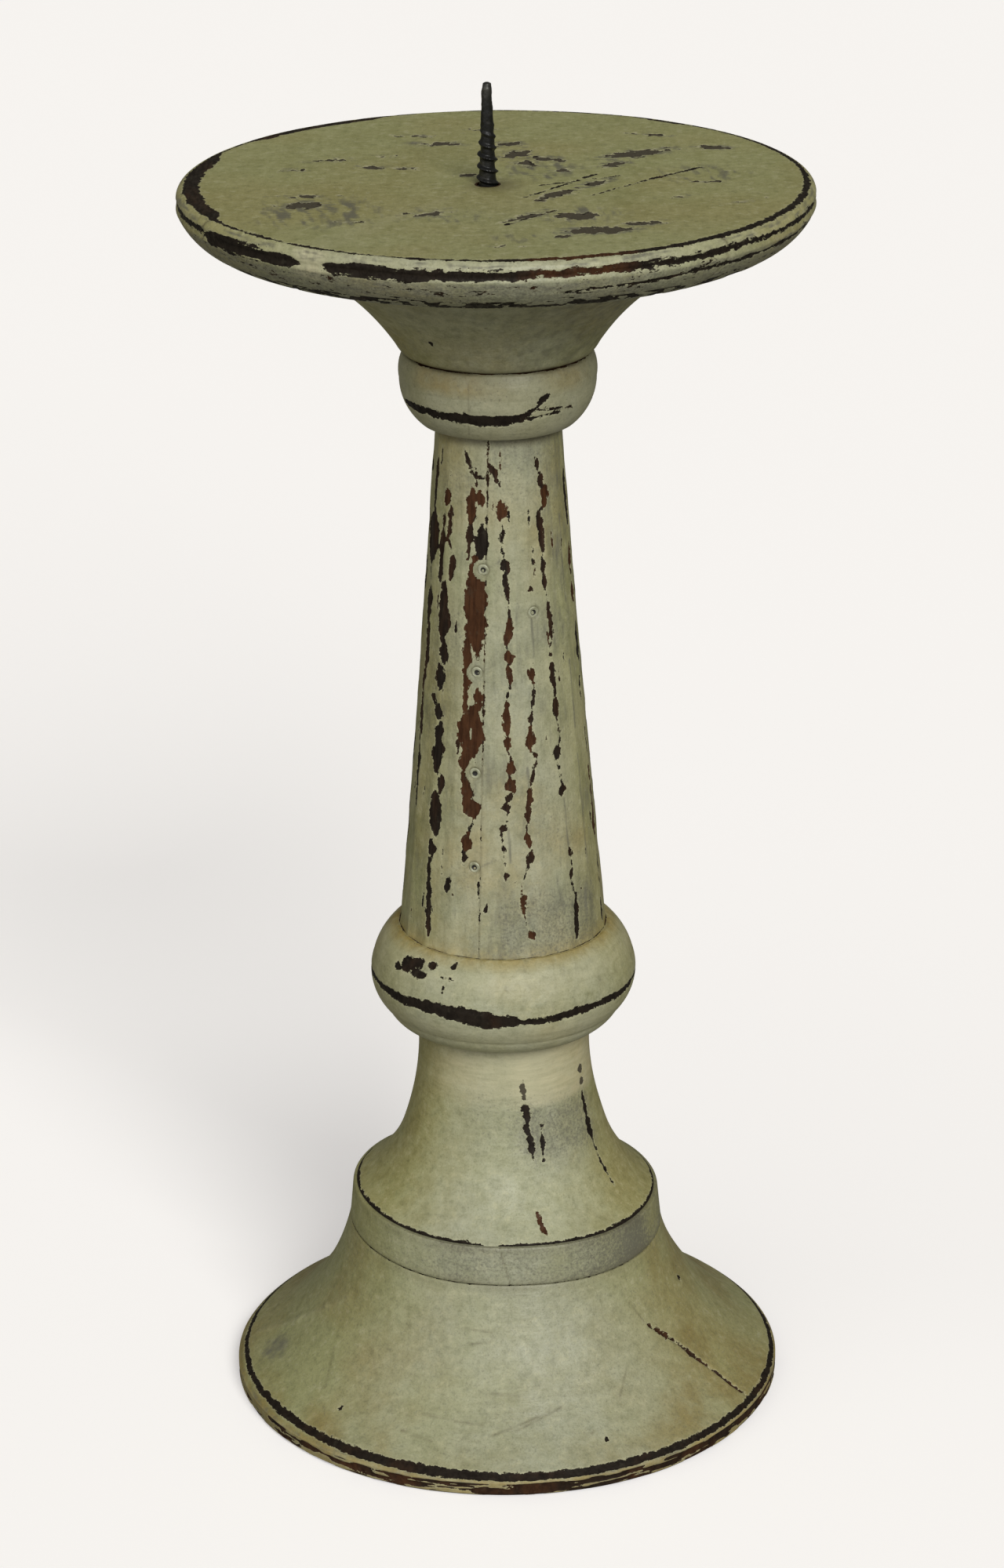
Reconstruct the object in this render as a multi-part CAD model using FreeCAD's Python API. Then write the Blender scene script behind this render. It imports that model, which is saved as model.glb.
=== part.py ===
"""Turned and painted wooden pricket candlestick, as the separate pieces it is glued up from.

Millimetres, +Z up. The origin is the centre of the foot's underside. The front of the
candlestick faces -Y. Azimuths are in degrees from the front, positive towards +X.
"""

import FreeCAD, Part
import math
import os

from FreeCAD import Placement, Rotation, Vector

# Heights of the joints between the stacked pieces
FOOT_TOP = 49.0
BAND_TOP = 60.6
PEDESTAL_TOP = 115.0
LOWER_RING_TOP = 144.5
COLUMN_TOP = 294.5
CAPITAL_RING_TOP = 315.0
CAPITAL_TOP = 346.5
PAN_TOP = 362.0

# Outside radii
FOOT_R = 80.5
FOOT_CHAMFER = 0.9
FOOT_TOP_R = 46.0
BAND_TOP_R = 44.9
LIP_R = 44.0
NECK_R = 24.9
NECK_BOTTOM = 104.5
LOWER_RING_SOLE_R = 29.0
LOWER_RING_R = 38.2
COLUMN_FOOT_R = 29.7
COLUMN_MID_R = 23.2
COLUMN_TOP_R = 17.5
CAPITAL_RING_SOLE_R = 20.8
CAPITAL_RING_R = 27.3
CAPITAL_WAIST_R = 26.0
CAPITAL_TOP_R = 56.5
PAN_R = 86.7
PAN_TOP_R = 84.1

# Column facets
FACETS = 20
FACET_EDGE_AZIMUTH = 5.0
COLUMN_MID = 220.0

# Glue planes between boards
PAN_GLUE_OFFSET = 51.6
PAN_GLUE_TURN = -9.7
CAPITAL_RING_GLUE_X = -8.0
COLUMN_GLUE_X = -7.0
COLUMN_GLUE_SLANT = 1.64
FOOT_GLUE_Y = -30.0

# Wooden dowels: radius, and how far each goes into the pieces above and below
PAN_DOWEL_R = 4.0
PAN_DOWEL_X = 20.0
PAN_DOWEL_DEPTH = 10.0
CAPITAL_DOWEL_R = 6.0
CAPITAL_DOWEL_DEPTH = 25.0
RING_DOWEL_R = 9.0
RING_DOWEL_DEPTH = 32.0
FOOT_DOWEL_R = 10.0
FOOT_DOWEL_DEPTH = 36.0
FOOT_DOWEL_RISE = 8.0

# Pricket: a wood screw driven up through the pan from below, a little off its centre
SCREW_PLACE = Vector(-2.2, -4.5, 0)
SPIKE_HEIGHT = 28.0
SPIKE_TIP_R = 0.9
SPIKE_ROOT_R = 2.15
SCREW_SHANK_R = 3.1
SCREW_HEAD_R = 5.6
SCREW_HEAD_DEPTH = 3.2
THREAD_R = 3.0
THREAD_TIP_R = 2.0
THREAD_PITCH = 3.2
THREAD_TURNS = 6
THREAD_WIDTH = 1.5

# Brads beside the column's glue line: azimuth and height of each
BRADS = ((-13.2, 257.2), (-17.2, 227.8), (-17.6, 198.6), (-17.1, 171.1), (26.3, 244.5))
BRAD_R = 0.8
BRAD_HEAD_R = 1.7
BRAD_HEAD_DEPTH = 1.0
BRAD_LENGTH = 13.0
BRAD_SET = 0.5
BRAD_MOUTH = 2.0

ORIGIN = Vector(0, 0, 0)
UP = Vector(0, 0, 1)
FRONT = Vector(0, -1, 0)
LEFT = Vector(-1, 0, 0)
REACH = 500.0


def turned(start, *steps):
    """A solid of revolution. A step of one point is a straight run, one of two points is an arc."""
    edges = []
    here = start
    for step in steps:
        points = [Vector(r, 0, z) for r, z in (here, *step)]
        run = Part.LineSegment(*points) if len(points) == 2 else Part.Arc(*points)
        edges.append(run.toShape())
        here = step[-1]
    return Part.Face(Part.Wire(edges)).revolve(ORIGIN, UP, 360)


def upright(radius, bottom, top, x=0.0):
    """A cylinder along Z."""
    return Part.makeCylinder(radius, top - bottom, Vector(x, 0, bottom), UP)


def side_of(shape, point, normal):
    """What lies on the side of a plane that its normal points to."""
    block = Part.makeBox(2 * REACH, 2 * REACH, 2 * REACH, Vector(-REACH, -REACH, 0))
    block.Placement = Placement(point, Rotation(UP, normal))
    return shape.common(block)


def two_boards(shape, point, normal):
    """The two boards that meet at a glue plane, first the one the normal points to."""
    return side_of(shape, point, normal), side_of(shape, point, -normal)


def foot():
    """Bell foot with a low square rim and a flat underside."""
    return turned(
        (0, 0),
        ((FOOT_R - FOOT_CHAMFER, 0),),
        ((FOOT_R, FOOT_CHAMFER),),
        ((FOOT_R, 4.4),),
        ((FOOT_R - 0.8, 5.2),),
        ((77.9, 6.6),),
        ((69.9, 12), (61.3, 20)),
        ((51.5, 34), (FOOT_TOP_R, FOOT_TOP)),
        ((0, FOOT_TOP),),
        ((0, 0),),
    )


def band():
    """The short upright band between the foot and the pedestal's lip."""
    return turned(
        (0, FOOT_TOP),
        ((FOOT_TOP_R, FOOT_TOP),),
        ((BAND_TOP_R, BAND_TOP),),
        ((0, BAND_TOP),),
        ((0, FOOT_TOP),),
    )


def pedestal():
    """Waisted block that flares from the neck down to the lip."""
    return turned(
        (0, BAND_TOP),
        ((LIP_R, BAND_TOP),),
        ((36.2, 68), (30.4, 78)),
        ((26.9, 90), (NECK_R, NECK_BOTTOM)),
        ((NECK_R, PEDESTAL_TOP),),
        ((0, PEDESTAL_TOP),),
        ((0, BAND_TOP),),
    )


def lower_ring():
    """Ring between pedestal and column: a narrow flat sole, a flare and a rounded top."""
    return turned(
        (0, PEDESTAL_TOP),
        ((LOWER_RING_SOLE_R, PEDESTAL_TOP),),
        ((31.4, 116.4), (34.2, 120)),
        ((LOWER_RING_R, 128), (37.5, 134.5)),
        ((35.2, 139.8), (30.9, LOWER_RING_TOP)),
        ((0, LOWER_RING_TOP),),
        ((0, PEDESTAL_TOP),),
    )


def facet_outline(radius, height):
    """Closed polygon with one corner on each facet edge."""
    corners = []
    for k in range(FACETS):
        turn = math.radians(FACET_EDGE_AZIMUTH + 360 * k / FACETS)
        corners.append(Vector(radius * math.sin(turn), -radius * math.cos(turn), height))
    return Part.makePolygon(corners + corners[:1])


def column():
    """Tapering column with shallow flat facets, slightly hollow in its outline."""
    outlines = [
        facet_outline(COLUMN_FOOT_R, LOWER_RING_TOP),
        facet_outline(COLUMN_MID_R, COLUMN_MID),
        facet_outline(COLUMN_TOP_R, COLUMN_TOP),
    ]
    return Part.makeLoft(outlines, True, True)


def capital_ring():
    """Rounded ring with a narrow flat sole that sits on the column."""
    return turned(
        (0, COLUMN_TOP),
        ((CAPITAL_RING_SOLE_R, COLUMN_TOP),),
        ((25.2, 299.5), (CAPITAL_RING_R, 307.5)),
        ((27.2, 312), (CAPITAL_WAIST_R, CAPITAL_RING_TOP)),
        ((0, CAPITAL_RING_TOP),),
        ((0, COLUMN_TOP),),
    )


def capital_cove():
    """Trumpet-shaped cove under the pan."""
    return turned(
        (0, CAPITAL_RING_TOP),
        ((CAPITAL_WAIST_R, CAPITAL_RING_TOP),),
        ((27.2, 316.2),),
        ((34.4, 326), (CAPITAL_TOP_R - 0.5, 342.8)),
        ((CAPITAL_TOP_R, CAPITAL_TOP),),
        ((0, CAPITAL_TOP),),
        ((0, CAPITAL_RING_TOP),),
    )


def pan():
    """Drip pan: flat top and underside, a narrow bead at the top edge, a full round below."""
    return turned(
        (0, CAPITAL_TOP),
        ((70, CAPITAL_TOP),),
        ((80.6, 349.2), (PAN_R, 356.5)),
        ((86.5, 358.2),),
        ((85.9, 361.1), (PAN_TOP_R, PAN_TOP)),
        ((0, PAN_TOP),),
        ((0, CAPITAL_TOP),),
    )


def screw_thread(height):
    """One turn of the thread, drawn as a ring with sloping flanks."""
    share = (height - PAN_TOP) / (THREAD_PITCH * THREAD_TURNS)
    crest = THREAD_R + share * (THREAD_TIP_R - THREAD_R)
    core = SPIKE_ROOT_R / 2
    return turned(
        (core, height - THREAD_WIDTH / 2),
        ((crest, height),),
        ((core, height + THREAD_WIDTH / 2),),
        ((core, height - THREAD_WIDTH / 2),),
    )


def pricket_screw():
    """Countersunk wood screw, point up. Its shank fills the pan and its point is the spike."""
    body = turned(
        (0, CAPITAL_TOP),
        ((SCREW_HEAD_R, CAPITAL_TOP),),
        ((SCREW_SHANK_R, CAPITAL_TOP + SCREW_HEAD_DEPTH),),
        ((SCREW_SHANK_R, PAN_TOP),),
        ((SPIKE_ROOT_R, PAN_TOP),),
        ((SPIKE_TIP_R + 0.3, PAN_TOP + SPIKE_HEIGHT - 1),),
        ((SPIKE_TIP_R, PAN_TOP + SPIKE_HEIGHT),),
        ((0, PAN_TOP + SPIKE_HEIGHT),),
        ((0, CAPITAL_TOP),),
    )
    for turn in range(THREAD_TURNS):
        body = body.fuse(screw_thread(PAN_TOP + THREAD_PITCH * (turn + 0.5)))
    body.translate(SCREW_PLACE)
    return body


def brad(azimuth, height, mouth=0.0):
    """A small nail driven straight at the column's axis, with its head just below the surface.

    With a mouth, the shape of the hole it sits in, open that far outwards.
    """
    turn = math.radians(azimuth)
    outwards = Vector(math.sin(turn), -math.cos(turn), 0)
    share = (height - LOWER_RING_TOP) / (COLUMN_TOP - LOWER_RING_TOP)
    surface = COLUMN_FOOT_R + share * (COLUMN_TOP_R - COLUMN_FOOT_R)
    nail = turned(
        (0, mouth),
        ((BRAD_HEAD_R, mouth),),
        ((BRAD_HEAD_R, -BRAD_HEAD_DEPTH),),
        ((BRAD_R, -BRAD_HEAD_DEPTH),),
        ((BRAD_R, -BRAD_LENGTH),),
        ((0, -BRAD_LENGTH),),
        ((0, mouth),),
    )
    nail.Placement = Placement(outwards * (surface - BRAD_SET) + UP * height, Rotation(UP, outwards))
    return nail


def without(shape, *tools):
    """The shape with room cut for what is set into it."""
    for tool in tools:
        shape = shape.cut(tool)
    return shape


def save(name, *shapes):
    """Write one node as a STEP file that holds only its solids."""
    solids = [solid for shape in shapes for solid in shape.Solids]
    node = solids[0] if len(solids) == 1 else Part.makeCompound(solids)
    node.exportStep(f"parts/{name}.step")
    print(f"{name}: {len(solids)} solid, {node.Volume / 1000:.2f} cm3, valid {node.isValid()}")


def build():
    """Make every piece, cut the glue planes and the holes, and save the nodes."""
    pan_dowels = [
        upright(PAN_DOWEL_R, CAPITAL_TOP - PAN_DOWEL_DEPTH, CAPITAL_TOP + PAN_DOWEL_DEPTH, x)
        for x in (-PAN_DOWEL_X, PAN_DOWEL_X)
    ]
    capital_dowel = upright(
        CAPITAL_DOWEL_R, COLUMN_TOP - CAPITAL_DOWEL_DEPTH, CAPITAL_RING_TOP + CAPITAL_DOWEL_DEPTH
    )
    ring_dowel = upright(
        RING_DOWEL_R, PEDESTAL_TOP - RING_DOWEL_DEPTH, LOWER_RING_TOP + RING_DOWEL_DEPTH
    )
    foot_dowel = upright(FOOT_DOWEL_R, FOOT_TOP - FOOT_DOWEL_DEPTH, BAND_TOP + FOOT_DOWEL_RISE)
    screw = pricket_screw()
    brads = [brad(azimuth, height) for azimuth, height in BRADS]
    pockets = [brad(azimuth, height, BRAD_MOUTH) for azimuth, height in BRADS]

    pan_normal = Rotation(UP, PAN_GLUE_TURN).multVec(FRONT)
    slant = math.radians(COLUMN_GLUE_SLANT)
    column_normal = Vector(-math.cos(slant), 0, math.sin(slant))
    column_point = Vector(COLUMN_GLUE_X, 0, LOWER_RING_TOP)

    pan_front, pan_back = two_boards(
        without(pan(), screw, *pan_dowels), pan_normal * PAN_GLUE_OFFSET, pan_normal
    )
    ring_left, ring_right = two_boards(
        without(capital_ring(), capital_dowel), Vector(CAPITAL_RING_GLUE_X, 0, 0), LEFT
    )
    column_left, column_right = two_boards(
        without(column(), capital_dowel, ring_dowel, *pockets), column_point, column_normal
    )
    band_left, band_right = two_boards(without(band(), foot_dowel), ORIGIN, LEFT)
    foot_front, foot_back = two_boards(
        without(foot(), foot_dowel), Vector(0, FOOT_GLUE_Y, 0), FRONT
    )

    os.makedirs("parts", exist_ok=True)
    save("pan_front_board", pan_front)
    save("pan_back_board", pan_back)
    save("pricket_screw", screw)
    save("pan_dowels", *pan_dowels)
    save("capital_cove", without(capital_cove(), capital_dowel, *pan_dowels))
    save("capital_ring_left", ring_left)
    save("capital_ring_right", ring_right)
    save("capital_dowel", capital_dowel)
    save("column_left_board", column_left)
    save("column_right_board", column_right)
    save("column_brads", *brads)
    save("lower_ring", without(lower_ring(), ring_dowel))
    save("ring_dowel", ring_dowel)
    save("pedestal", without(pedestal(), ring_dowel, foot_dowel))
    save("band_left", band_left)
    save("band_right", band_right)
    save("foot_dowel", foot_dowel)
    save("foot_front_board", foot_front)
    save("foot_back_board", foot_back)


build()
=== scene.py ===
"""Looks of the painted wooden candlestick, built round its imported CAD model.

Sizes are millimetres in the row frame unless a name says otherwise; the meshes are made in
metres. Azimuths are degrees from the front (-Y), positive towards +X.
"""

import contextlib
import itertools
import math

import bmesh
import bpy
import numpy as np
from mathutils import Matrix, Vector


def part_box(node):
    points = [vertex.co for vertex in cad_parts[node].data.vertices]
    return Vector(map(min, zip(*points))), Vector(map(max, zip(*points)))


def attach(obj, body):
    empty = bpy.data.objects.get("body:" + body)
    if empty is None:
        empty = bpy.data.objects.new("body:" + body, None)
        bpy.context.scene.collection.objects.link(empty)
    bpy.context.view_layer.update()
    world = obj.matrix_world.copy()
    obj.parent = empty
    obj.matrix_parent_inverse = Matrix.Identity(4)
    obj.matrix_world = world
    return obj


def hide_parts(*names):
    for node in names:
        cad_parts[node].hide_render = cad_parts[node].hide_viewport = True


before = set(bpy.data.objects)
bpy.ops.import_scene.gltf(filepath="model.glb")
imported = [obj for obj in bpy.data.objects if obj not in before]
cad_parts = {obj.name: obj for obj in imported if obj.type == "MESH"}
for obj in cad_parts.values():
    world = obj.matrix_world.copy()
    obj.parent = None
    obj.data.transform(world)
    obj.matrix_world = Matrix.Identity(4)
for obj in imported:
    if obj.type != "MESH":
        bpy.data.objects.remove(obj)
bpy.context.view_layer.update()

MM = 0.001

# Camera
CAMERA_PLACE = (0.0001, -1.1678, 0.648)
CAMERA_PITCH = 21.58
CAMERA_ROLL = -0.55
CAMERA_LENS = 100.96
SENSOR_LONG_SIDE = 36.0

# Lights: azimuth, elevation, spread, strength
LIGHTS = {"key": (20.0, 33.0, 30.0, 2.0), "front": (-36.0, 20.0, 90.0, 0.72)}
FILL = 0.16
FLOOR_GLOW = 0.415

# Column facets, as in the CAD solids
FACETS = 20
FACET_EDGE = 5.0
FACET_SOFTNESS = 0.04

# Rows of the turned meshes, and the turn from which an outline's corner stays sharp
ROW = 0.5
HIDDEN_ROW = 4
PAN_SOLE_ROW = 3.0
CORNER_TURN = 24.0
# For each turned shape, by its first node: rows on its flats, points round it, seed
MESHES = {
    "foot_front_board": (2.5, 768, 11),
    "band_left": (2.5, 640, 12),
    "pedestal": (2.5, 576, 13),
    "lower_ring": (2.0, 512, 14),
    "column_left_board": (2.0, FACETS * 22, 15),
    "capital_ring_left": (2.0, 448, 16),
    "capital_cove": (3.0, 576, 17),
    "pan_front_board": (1.0, 768, 18),
}
# What counts as a turned ring of CAD points: how far out, and how many points
CORE_R = 12.0
FULL_RING = 40
# Corners over these angles stay sharp in the shading
PAINT_CORNER = 38
METAL_CORNER = 50

# How bare untouched paint is
WHOLE = -2.0

# Noise made here: how many random values, and how far apart neighbouring cells take theirs
NOISE_VALUES = 4096 * 16
NOISE_STRIDES = (1, 1259, 15013)
RAGGED_SIZE = 3.0
SLOW_SIZE = 14.0

# Where the pan's flat top ends
PAN_FLAT_R = 84.3

# Glue planes, as in the CAD solids
PAN_GLUE_OFFSET = 51.6
PAN_GLUE_TURN = -9.7
RING_GLUE_X = -8.0
COLUMN_GLUE_X = -7.0
COLUMN_GLUE_SLANT = 1.64
FOOT_GLUE_Y = -30.0

# Dowel bores
FOOT_BORE, FOOT_BORE_BOTTOM, FOOT_BORE_TOP = 10.0, 13.0, 68.6
RING_BORE, RING_BORE_BOTTOM, RING_BORE_TOP = 9.0, 83.0, 176.5
CAPITAL_BORE, CAPITAL_BORE_BOTTOM, CAPITAL_BORE_TOP = 6.0, 269.5, 340.0
SCREW_PLACE = (-2.2, -4.5)
SCREW_R, SCREW_HEAD_R, SCREW_HEAD_DEPTH = 3.1, 5.6, 3.2
SCREW_AROUND = 72

# Spike: rows, radii lost towards the tip, and its thread; places on it are shares of its height
SPIKE_ROW = 0.14
SPIKE_R = 2.3
SPIKE_TAPER = 1.0
TIP_START = 0.93
TIP_TAPER = 3.5
THREAD_PITCH = 3.2
THREAD_DEPTH = 0.85
THREAD_HALF_WIDTH = 0.24
THREAD_END = 0.62
THREAD_RUN_OUT = 0.3

# Bare stretches on the column's facet edges, counted from the edge just right of the front:
# degrees off the edge, top, bottom, width, and how red the bare wood is if it is redder
EDGE_WEAR = {
    -4: (
        (0, 286, 272, 1.0), (-2, 271, 256, 4.8), (-1, 249, 238, 1.6), (0, 238, 222, 1.8),
        (-3, 222, 205, 1.8), (-2, 202, 184, 1.8),
    ),
    -3: (
        (0, 278, 274, 2.8, 0.9), (4, 274, 265, 1.4), (8, 260, 253, 1.7), (-4, 271, 252, 1.7),
        (0, 252, 243, 1.8), (2, 245, 236, 3.4), (3, 236, 229, 2.2), (1, 228, 221, 2.4),
        (-5, 219, 217, 1.3), (1, 216, 212, 2.4), (2, 211, 197, 2.7), (6, 196, 191, 1.4),
        (3, 191, 178, 2.8), (1, 176, 172, 2.2), (1, 169, 148, 1.5), (15, 167, 163, 1.4),
    ),
    -1: (
        (-11, 280, 270, 1.8, 0.9), (-3, 279, 275, 2.4, 0.9), (-12, 270, 262, 1.1),
        (-2, 270, 260, 2.2), (-5, 260, 233, 4.6, 1.0), (-12, 243, 216, 1.8, 1.0),
        (-3, 223, 217, 2.2, 0.9), (-7, 217, 204, 5.0, 1.0), (-11, 205, 187, 1.9, 0.9),
        (-6, 190, 186, 4.0, 0.9), (-9, 181, 176, 2.0, 0.9), (-10, 175, 171, 1.1),
    ),
    0: (
        (-4, 277, 271, 2.1, 0.9), (-3, 269, 265, 1.0), (0, 260, 257, 1.2), (0, 256, 249, 0.9),
        (1, 243, 236, 1.4, 0.8), (1, 234, 231, 1.9, 0.9), (1, 230, 225, 1.3, 0.8),
        (-1, 220, 206, 1.7, 0.9), (1, 202, 199, 1.7, 0.8), (1, 197, 194, 2.5, 1.0),
        (-2, 190, 188, 1.9), (-4, 184, 182, 1.0), (-3, 170, 168, 1.0),
    ),
    1: (
        (2, 252, 251, 1.1), (0, 229, 224, 1.5, 0.7), (-2, 216, 213, 1.1),
        (-3, 212, 205, 1.4, 0.8), (0, 204, 203, 1.0), (-6, 194, 184, 1.1, 0.4),
        (-7, 181, 177, 1.5, 0.9), (-6, 176, 172, 1.2), (-11, 166, 156, 1.0, 0.8),
        (-7, 152, 150, 1.8, 1.0),
    ),
    2: (
        (-5, 288, 284, 0.8), (-3, 283, 280, 1.0), (1, 279, 274, 2.4, 0.7), (-5, 273, 261, 1.0),
        (-4, 259, 251, 0.8), (-1, 247, 236, 0.9), (-2, 232, 231, 1.0), (-1, 229, 222, 1.3),
        (0, 219, 213, 1.0), (2, 210, 208, 0.8), (-1, 205, 201, 1.4), (1, 193, 190, 1.6, 0.4),
        (4, 174, 171, 1.1), (4, 168, 165, 1.0), (6, 160, 147, 0.9),
    ),
}
# Bare slants at the top of the column: azimuth and height at both ends, width
COLUMN_SLANTS = (
    (-32, 291, -24, 284, 1.1), (-24, 284, -14, 283, 0.5), (-8, 287, 1, 281, 1.0),
)
# Stretches where the column's paint is only rubbed: azimuth, top, bottom, width
COLUMN_RUBS = (
    (4, 183, 173, 0.5), (24, 243, 232, 0.5), (17, 200, 193, 0.7), (43, 189, 175, 0.5),
    (59, 270, 245, 0.5), (59, 228, 208, 0.5), (60, 200, 165, 0.4),
)
# Paint left in the wide bare strip: azimuth, height, width, length
COLUMN_ISLANDS = (
    (-16, 273, 2.0, 4.6), (-21, 220, 1.0, 4.0), (-21, 210, 0.8, 3.2), (-18, 197, 2.0, 6.0),
)
BACK_EDGES = range(4, 16)
WORN_RED = 0.3

# Brads: azimuth and height, as in the CAD solids
BRADS = ((-13.2, 257.2), (-17.2, 227.8), (-17.6, 198.6), (-17.1, 171.1), (26.3, 244.5))
BRAD_R = 1.7
BRAD_COLLAR_R = 2.3
BRAD_DEPTH = 0.45
BRAD_AROUND = 32
# A brad's outline: radius, and height over its head's rim
BRAD_OUTLINE = (
    (0, -13), (0.8, -12.2), (0.8, -1.1), (BRAD_R - 0.1, -1.0), (BRAD_R - 0.1, -0.25),
    (1.3, 0.0), (0.9, -0.1), (0.5, -0.32), (0, -0.36),
)

# Bare scuffs on the pan's top: x, y, half length, half width, turn, how far gone
PAN_SCUFFS = (
    (3, 42, 4.2, 2.6, 10, 0.9), (6, 30, 6.0, 3.6, 60, 0.75), (9, 18, 5.0, 3.0, -50, 0.65),
    (39, 29, 9.0, 3.0, 30, 1.0), (33, 17, 4.0, 2.2, 30, 0.85), (60, 36, 4.4, 2.0, -10, 1.0),
    (8, -40, 7.0, 2.0, 48, 0.85), (16, -17, 6.0, 2.0, 46, 0.95), (27, -4, 6.0, 1.9, 46, 0.95),
    (21, -40, 9.0, 6.0, 10, 0.5), (26, -55, 8.0, 3.0, 5, 1.0), (39, -48, 5.4, 2.0, 12, 0.75),
    (17, -61, 3.4, 1.3, 5, 0.8), (-51, -26, 6.0, 3.4, 10, 0.8), (-50, -16, 8.0, 1.8, 0, 0.6),
    (-17, -36, 8.0, 4.0, 10, 0.5), (-16, 43, 6.4, 2.6, -5, 0.8), (-23, 53, 4.0, 1.2, -10, 0.75),
    (-34, 16, 3.6, 2.2, 0, 0.8), (-30, 29, 4.0, 2.0, 10, 0.6), (-45, 25, 7.0, 2.2, 10, 0.65),
    (-54, 14, 4.0, 2.0, 20, 0.65), (-25, 14, 3.0, 1.8, 0, 0.75), (58, -4, 4.0, 1.4, 10, 0.6),
    (66, -26, 6.0, 1.4, 30, 0.55), (14, 24, 5.0, 2.6, -30, 0.8), (18, 10, 6.0, 3.0, 20, 0.6),
    (-8, 6, 3.0, 1.8, 0, 0.7), (48, -20, 4.0, 1.6, 20, 0.55), (-36, -44, 4.0, 1.4, 0, 0.5),
    (44, 52, 5.0, 1.6, -20, 0.6), (-4, 60, 5.0, 1.4, 0, 0.5), (2, -70, 4.0, 1.2, 0, 0.55),
)
# Knife-thin scratches on the pan's top: both ends, width
PAN_SCRATCHES = (
    (8, -19, 28, 7, 0.9), (24, -19, 44, 2, 0.7), (42, 0, 56, 13, 1.1), (12, -6, 34, 4, 0.7),
    (2, -49, 16, -33, 0.9),
)
# Hatched areas, rubbed by many light scratches: x, y, half length, half width, strength
PAN_HATCHING = (
    (-47, -34, 20, 20, 0.6), (-14, -38, 16, 10, 0.45), (22, -38, 12, 10, 0.55),
    (13, 12, 12, 14, 0.6), (55, 5, 16, 12, 0.4), (6, -62, 10, 6, 0.3),
)
# Bare edge inside the pan's rim: azimuths, how far in
PAN_RIM_WEAR = (
    (-112, -62, 4.8), (-158, -126, 3.2), (138, 152, 1.8), (96, 122, 1.4),
)
# The worn line below the pan's bead: azimuths, width
PAN_LINE_WEAR = (
    (-100, -62, 1.8), (-62, -36, 3.8), (-31, -10, 3.3), (-14, 8, 2.7), (3, 46, 1.9),
    (42, 80, 1.6), (80, 150, 1.2), (-180, -125, 1.3),
)

# Worn bands, as azimuth, height and width on the way round
CAPITAL_BAND = (
    (-75, 302.4, 1.0), (-64, 302.4, 2.6), (-50, 302.4, 2.3), (-34, 302.3, 2.5),
    (-20, 302.2, 3.2), (-6, 301.8, 3.6), (4, 301.7, 3.2), (12, 302.6, 2.4), (20, 304.3, 1.3),
    (27, 307.0, 0.9), (32, 308.0, -1.0),
)
LOWER_BAND = (
    (-180, 130.0, 1.0), (-72, 130.6, 1.8), (-50, 130.4, 2.6), (-28, 130.9, 3.8),
    (-18, 130.2, 4.8), (-9, 129.3, 5.4), (-3, 129.0, 4.0), (5, 129.0, 3.2), (7, 128.6, 1.6),
    (19, 128.5, 2.2), (32, 129.3, 2.8), (46, 129.4, 2.3), (62, 128.9, 2.0), (90, 129.5, 1.0),
    (180, 130.0, 1.0),
)
# Bare patches on the lower ring: azimuth, height, half width, half height
LOWER_PATCHES = (
    (-56, 138.2, 1.6, 1.2), (-51, 140.0, 3.0, 1.9), (-46, 141.4, 2.4, 1.0),
    (-42, 138.9, 3.2, 0.9), (-36, 141.7, 1.3, 0.7), (-29, 139.6, 1.8, 0.5),
    (-28, 136.8, 0.6, 1.7), (-25, 142.7, 0.6, 0.6),
)
# Cracks down the pedestal: azimuth and height at both ends, width, how red
PEDESTAL_CRACKS = (
    (12, 104, 13, 97, 0.8, 0), (13, 97, 14, 88, 1.3, 0), (15, 88, 16, 81, 0.8, 0),
    (23, 91, 22, 80, 0.4, 0), (14, 67, 16, 63, 0.9, 0.9), (61, 103, 61, 101, 0.8, 0),
    (61, 99, 61, 97, 1.1, 0), (60, 95, 60, 81, 1.1, 0), (60, 81, 61, 68, 0.4, 0),
)
FOOT_CRACK = ((50, 30), (57, 23), (62, 14), (64, 5))
# Light scratches: both ends, strength
FOOT_SCRATCHES = (
    ((-4, 13), (11, 17.6), 0.6), ((-22, 16), (-6, 15), 0.5), ((2, 14), (14, 18), 0.55),
    ((-12, 33), (-5, 34), 0.5), ((-14, 37), (-2, 36), 0.5), ((-8, 22), (6, 21), 0.45),
    ((20, 12), (26, 13), 0.6), ((-44, 26), (-38, 20), 0.5), ((-58, 22), (-52, 14), 0.5),
    ((46, 38), (49, 31), 0.6), ((-26, 12), (-18, 11), 0.6), ((30, 17), (36, 23), 0.45),
)
FOOT_RIDGE = ((-92, 9), (-82, 19), (-73, 27), (-64, 33))

# Colours
PAINT = (0.41, 0.41, 0.19)
PAINT_WARM = (0.41, 0.38, 0.165)
# The next colour is paler paint: painted front light on the wood, and a mottle on the brads
PAINT_PALER_AND_LIT = (0.46, 0.465, 0.335)
PAINT_PALE = (0.57, 0.55, 0.35)
PAINT_RUBBED = (0.14, 0.133, 0.105)
# The next colour is dark brown for dirt and specks, and for painted shade by the joints
GRIME_AND_SHADE = (0.10, 0.08, 0.042)
BARE_BLACK = (0.020, 0.0145, 0.010)
BARE_RED = (0.078, 0.031, 0.012)
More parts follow.
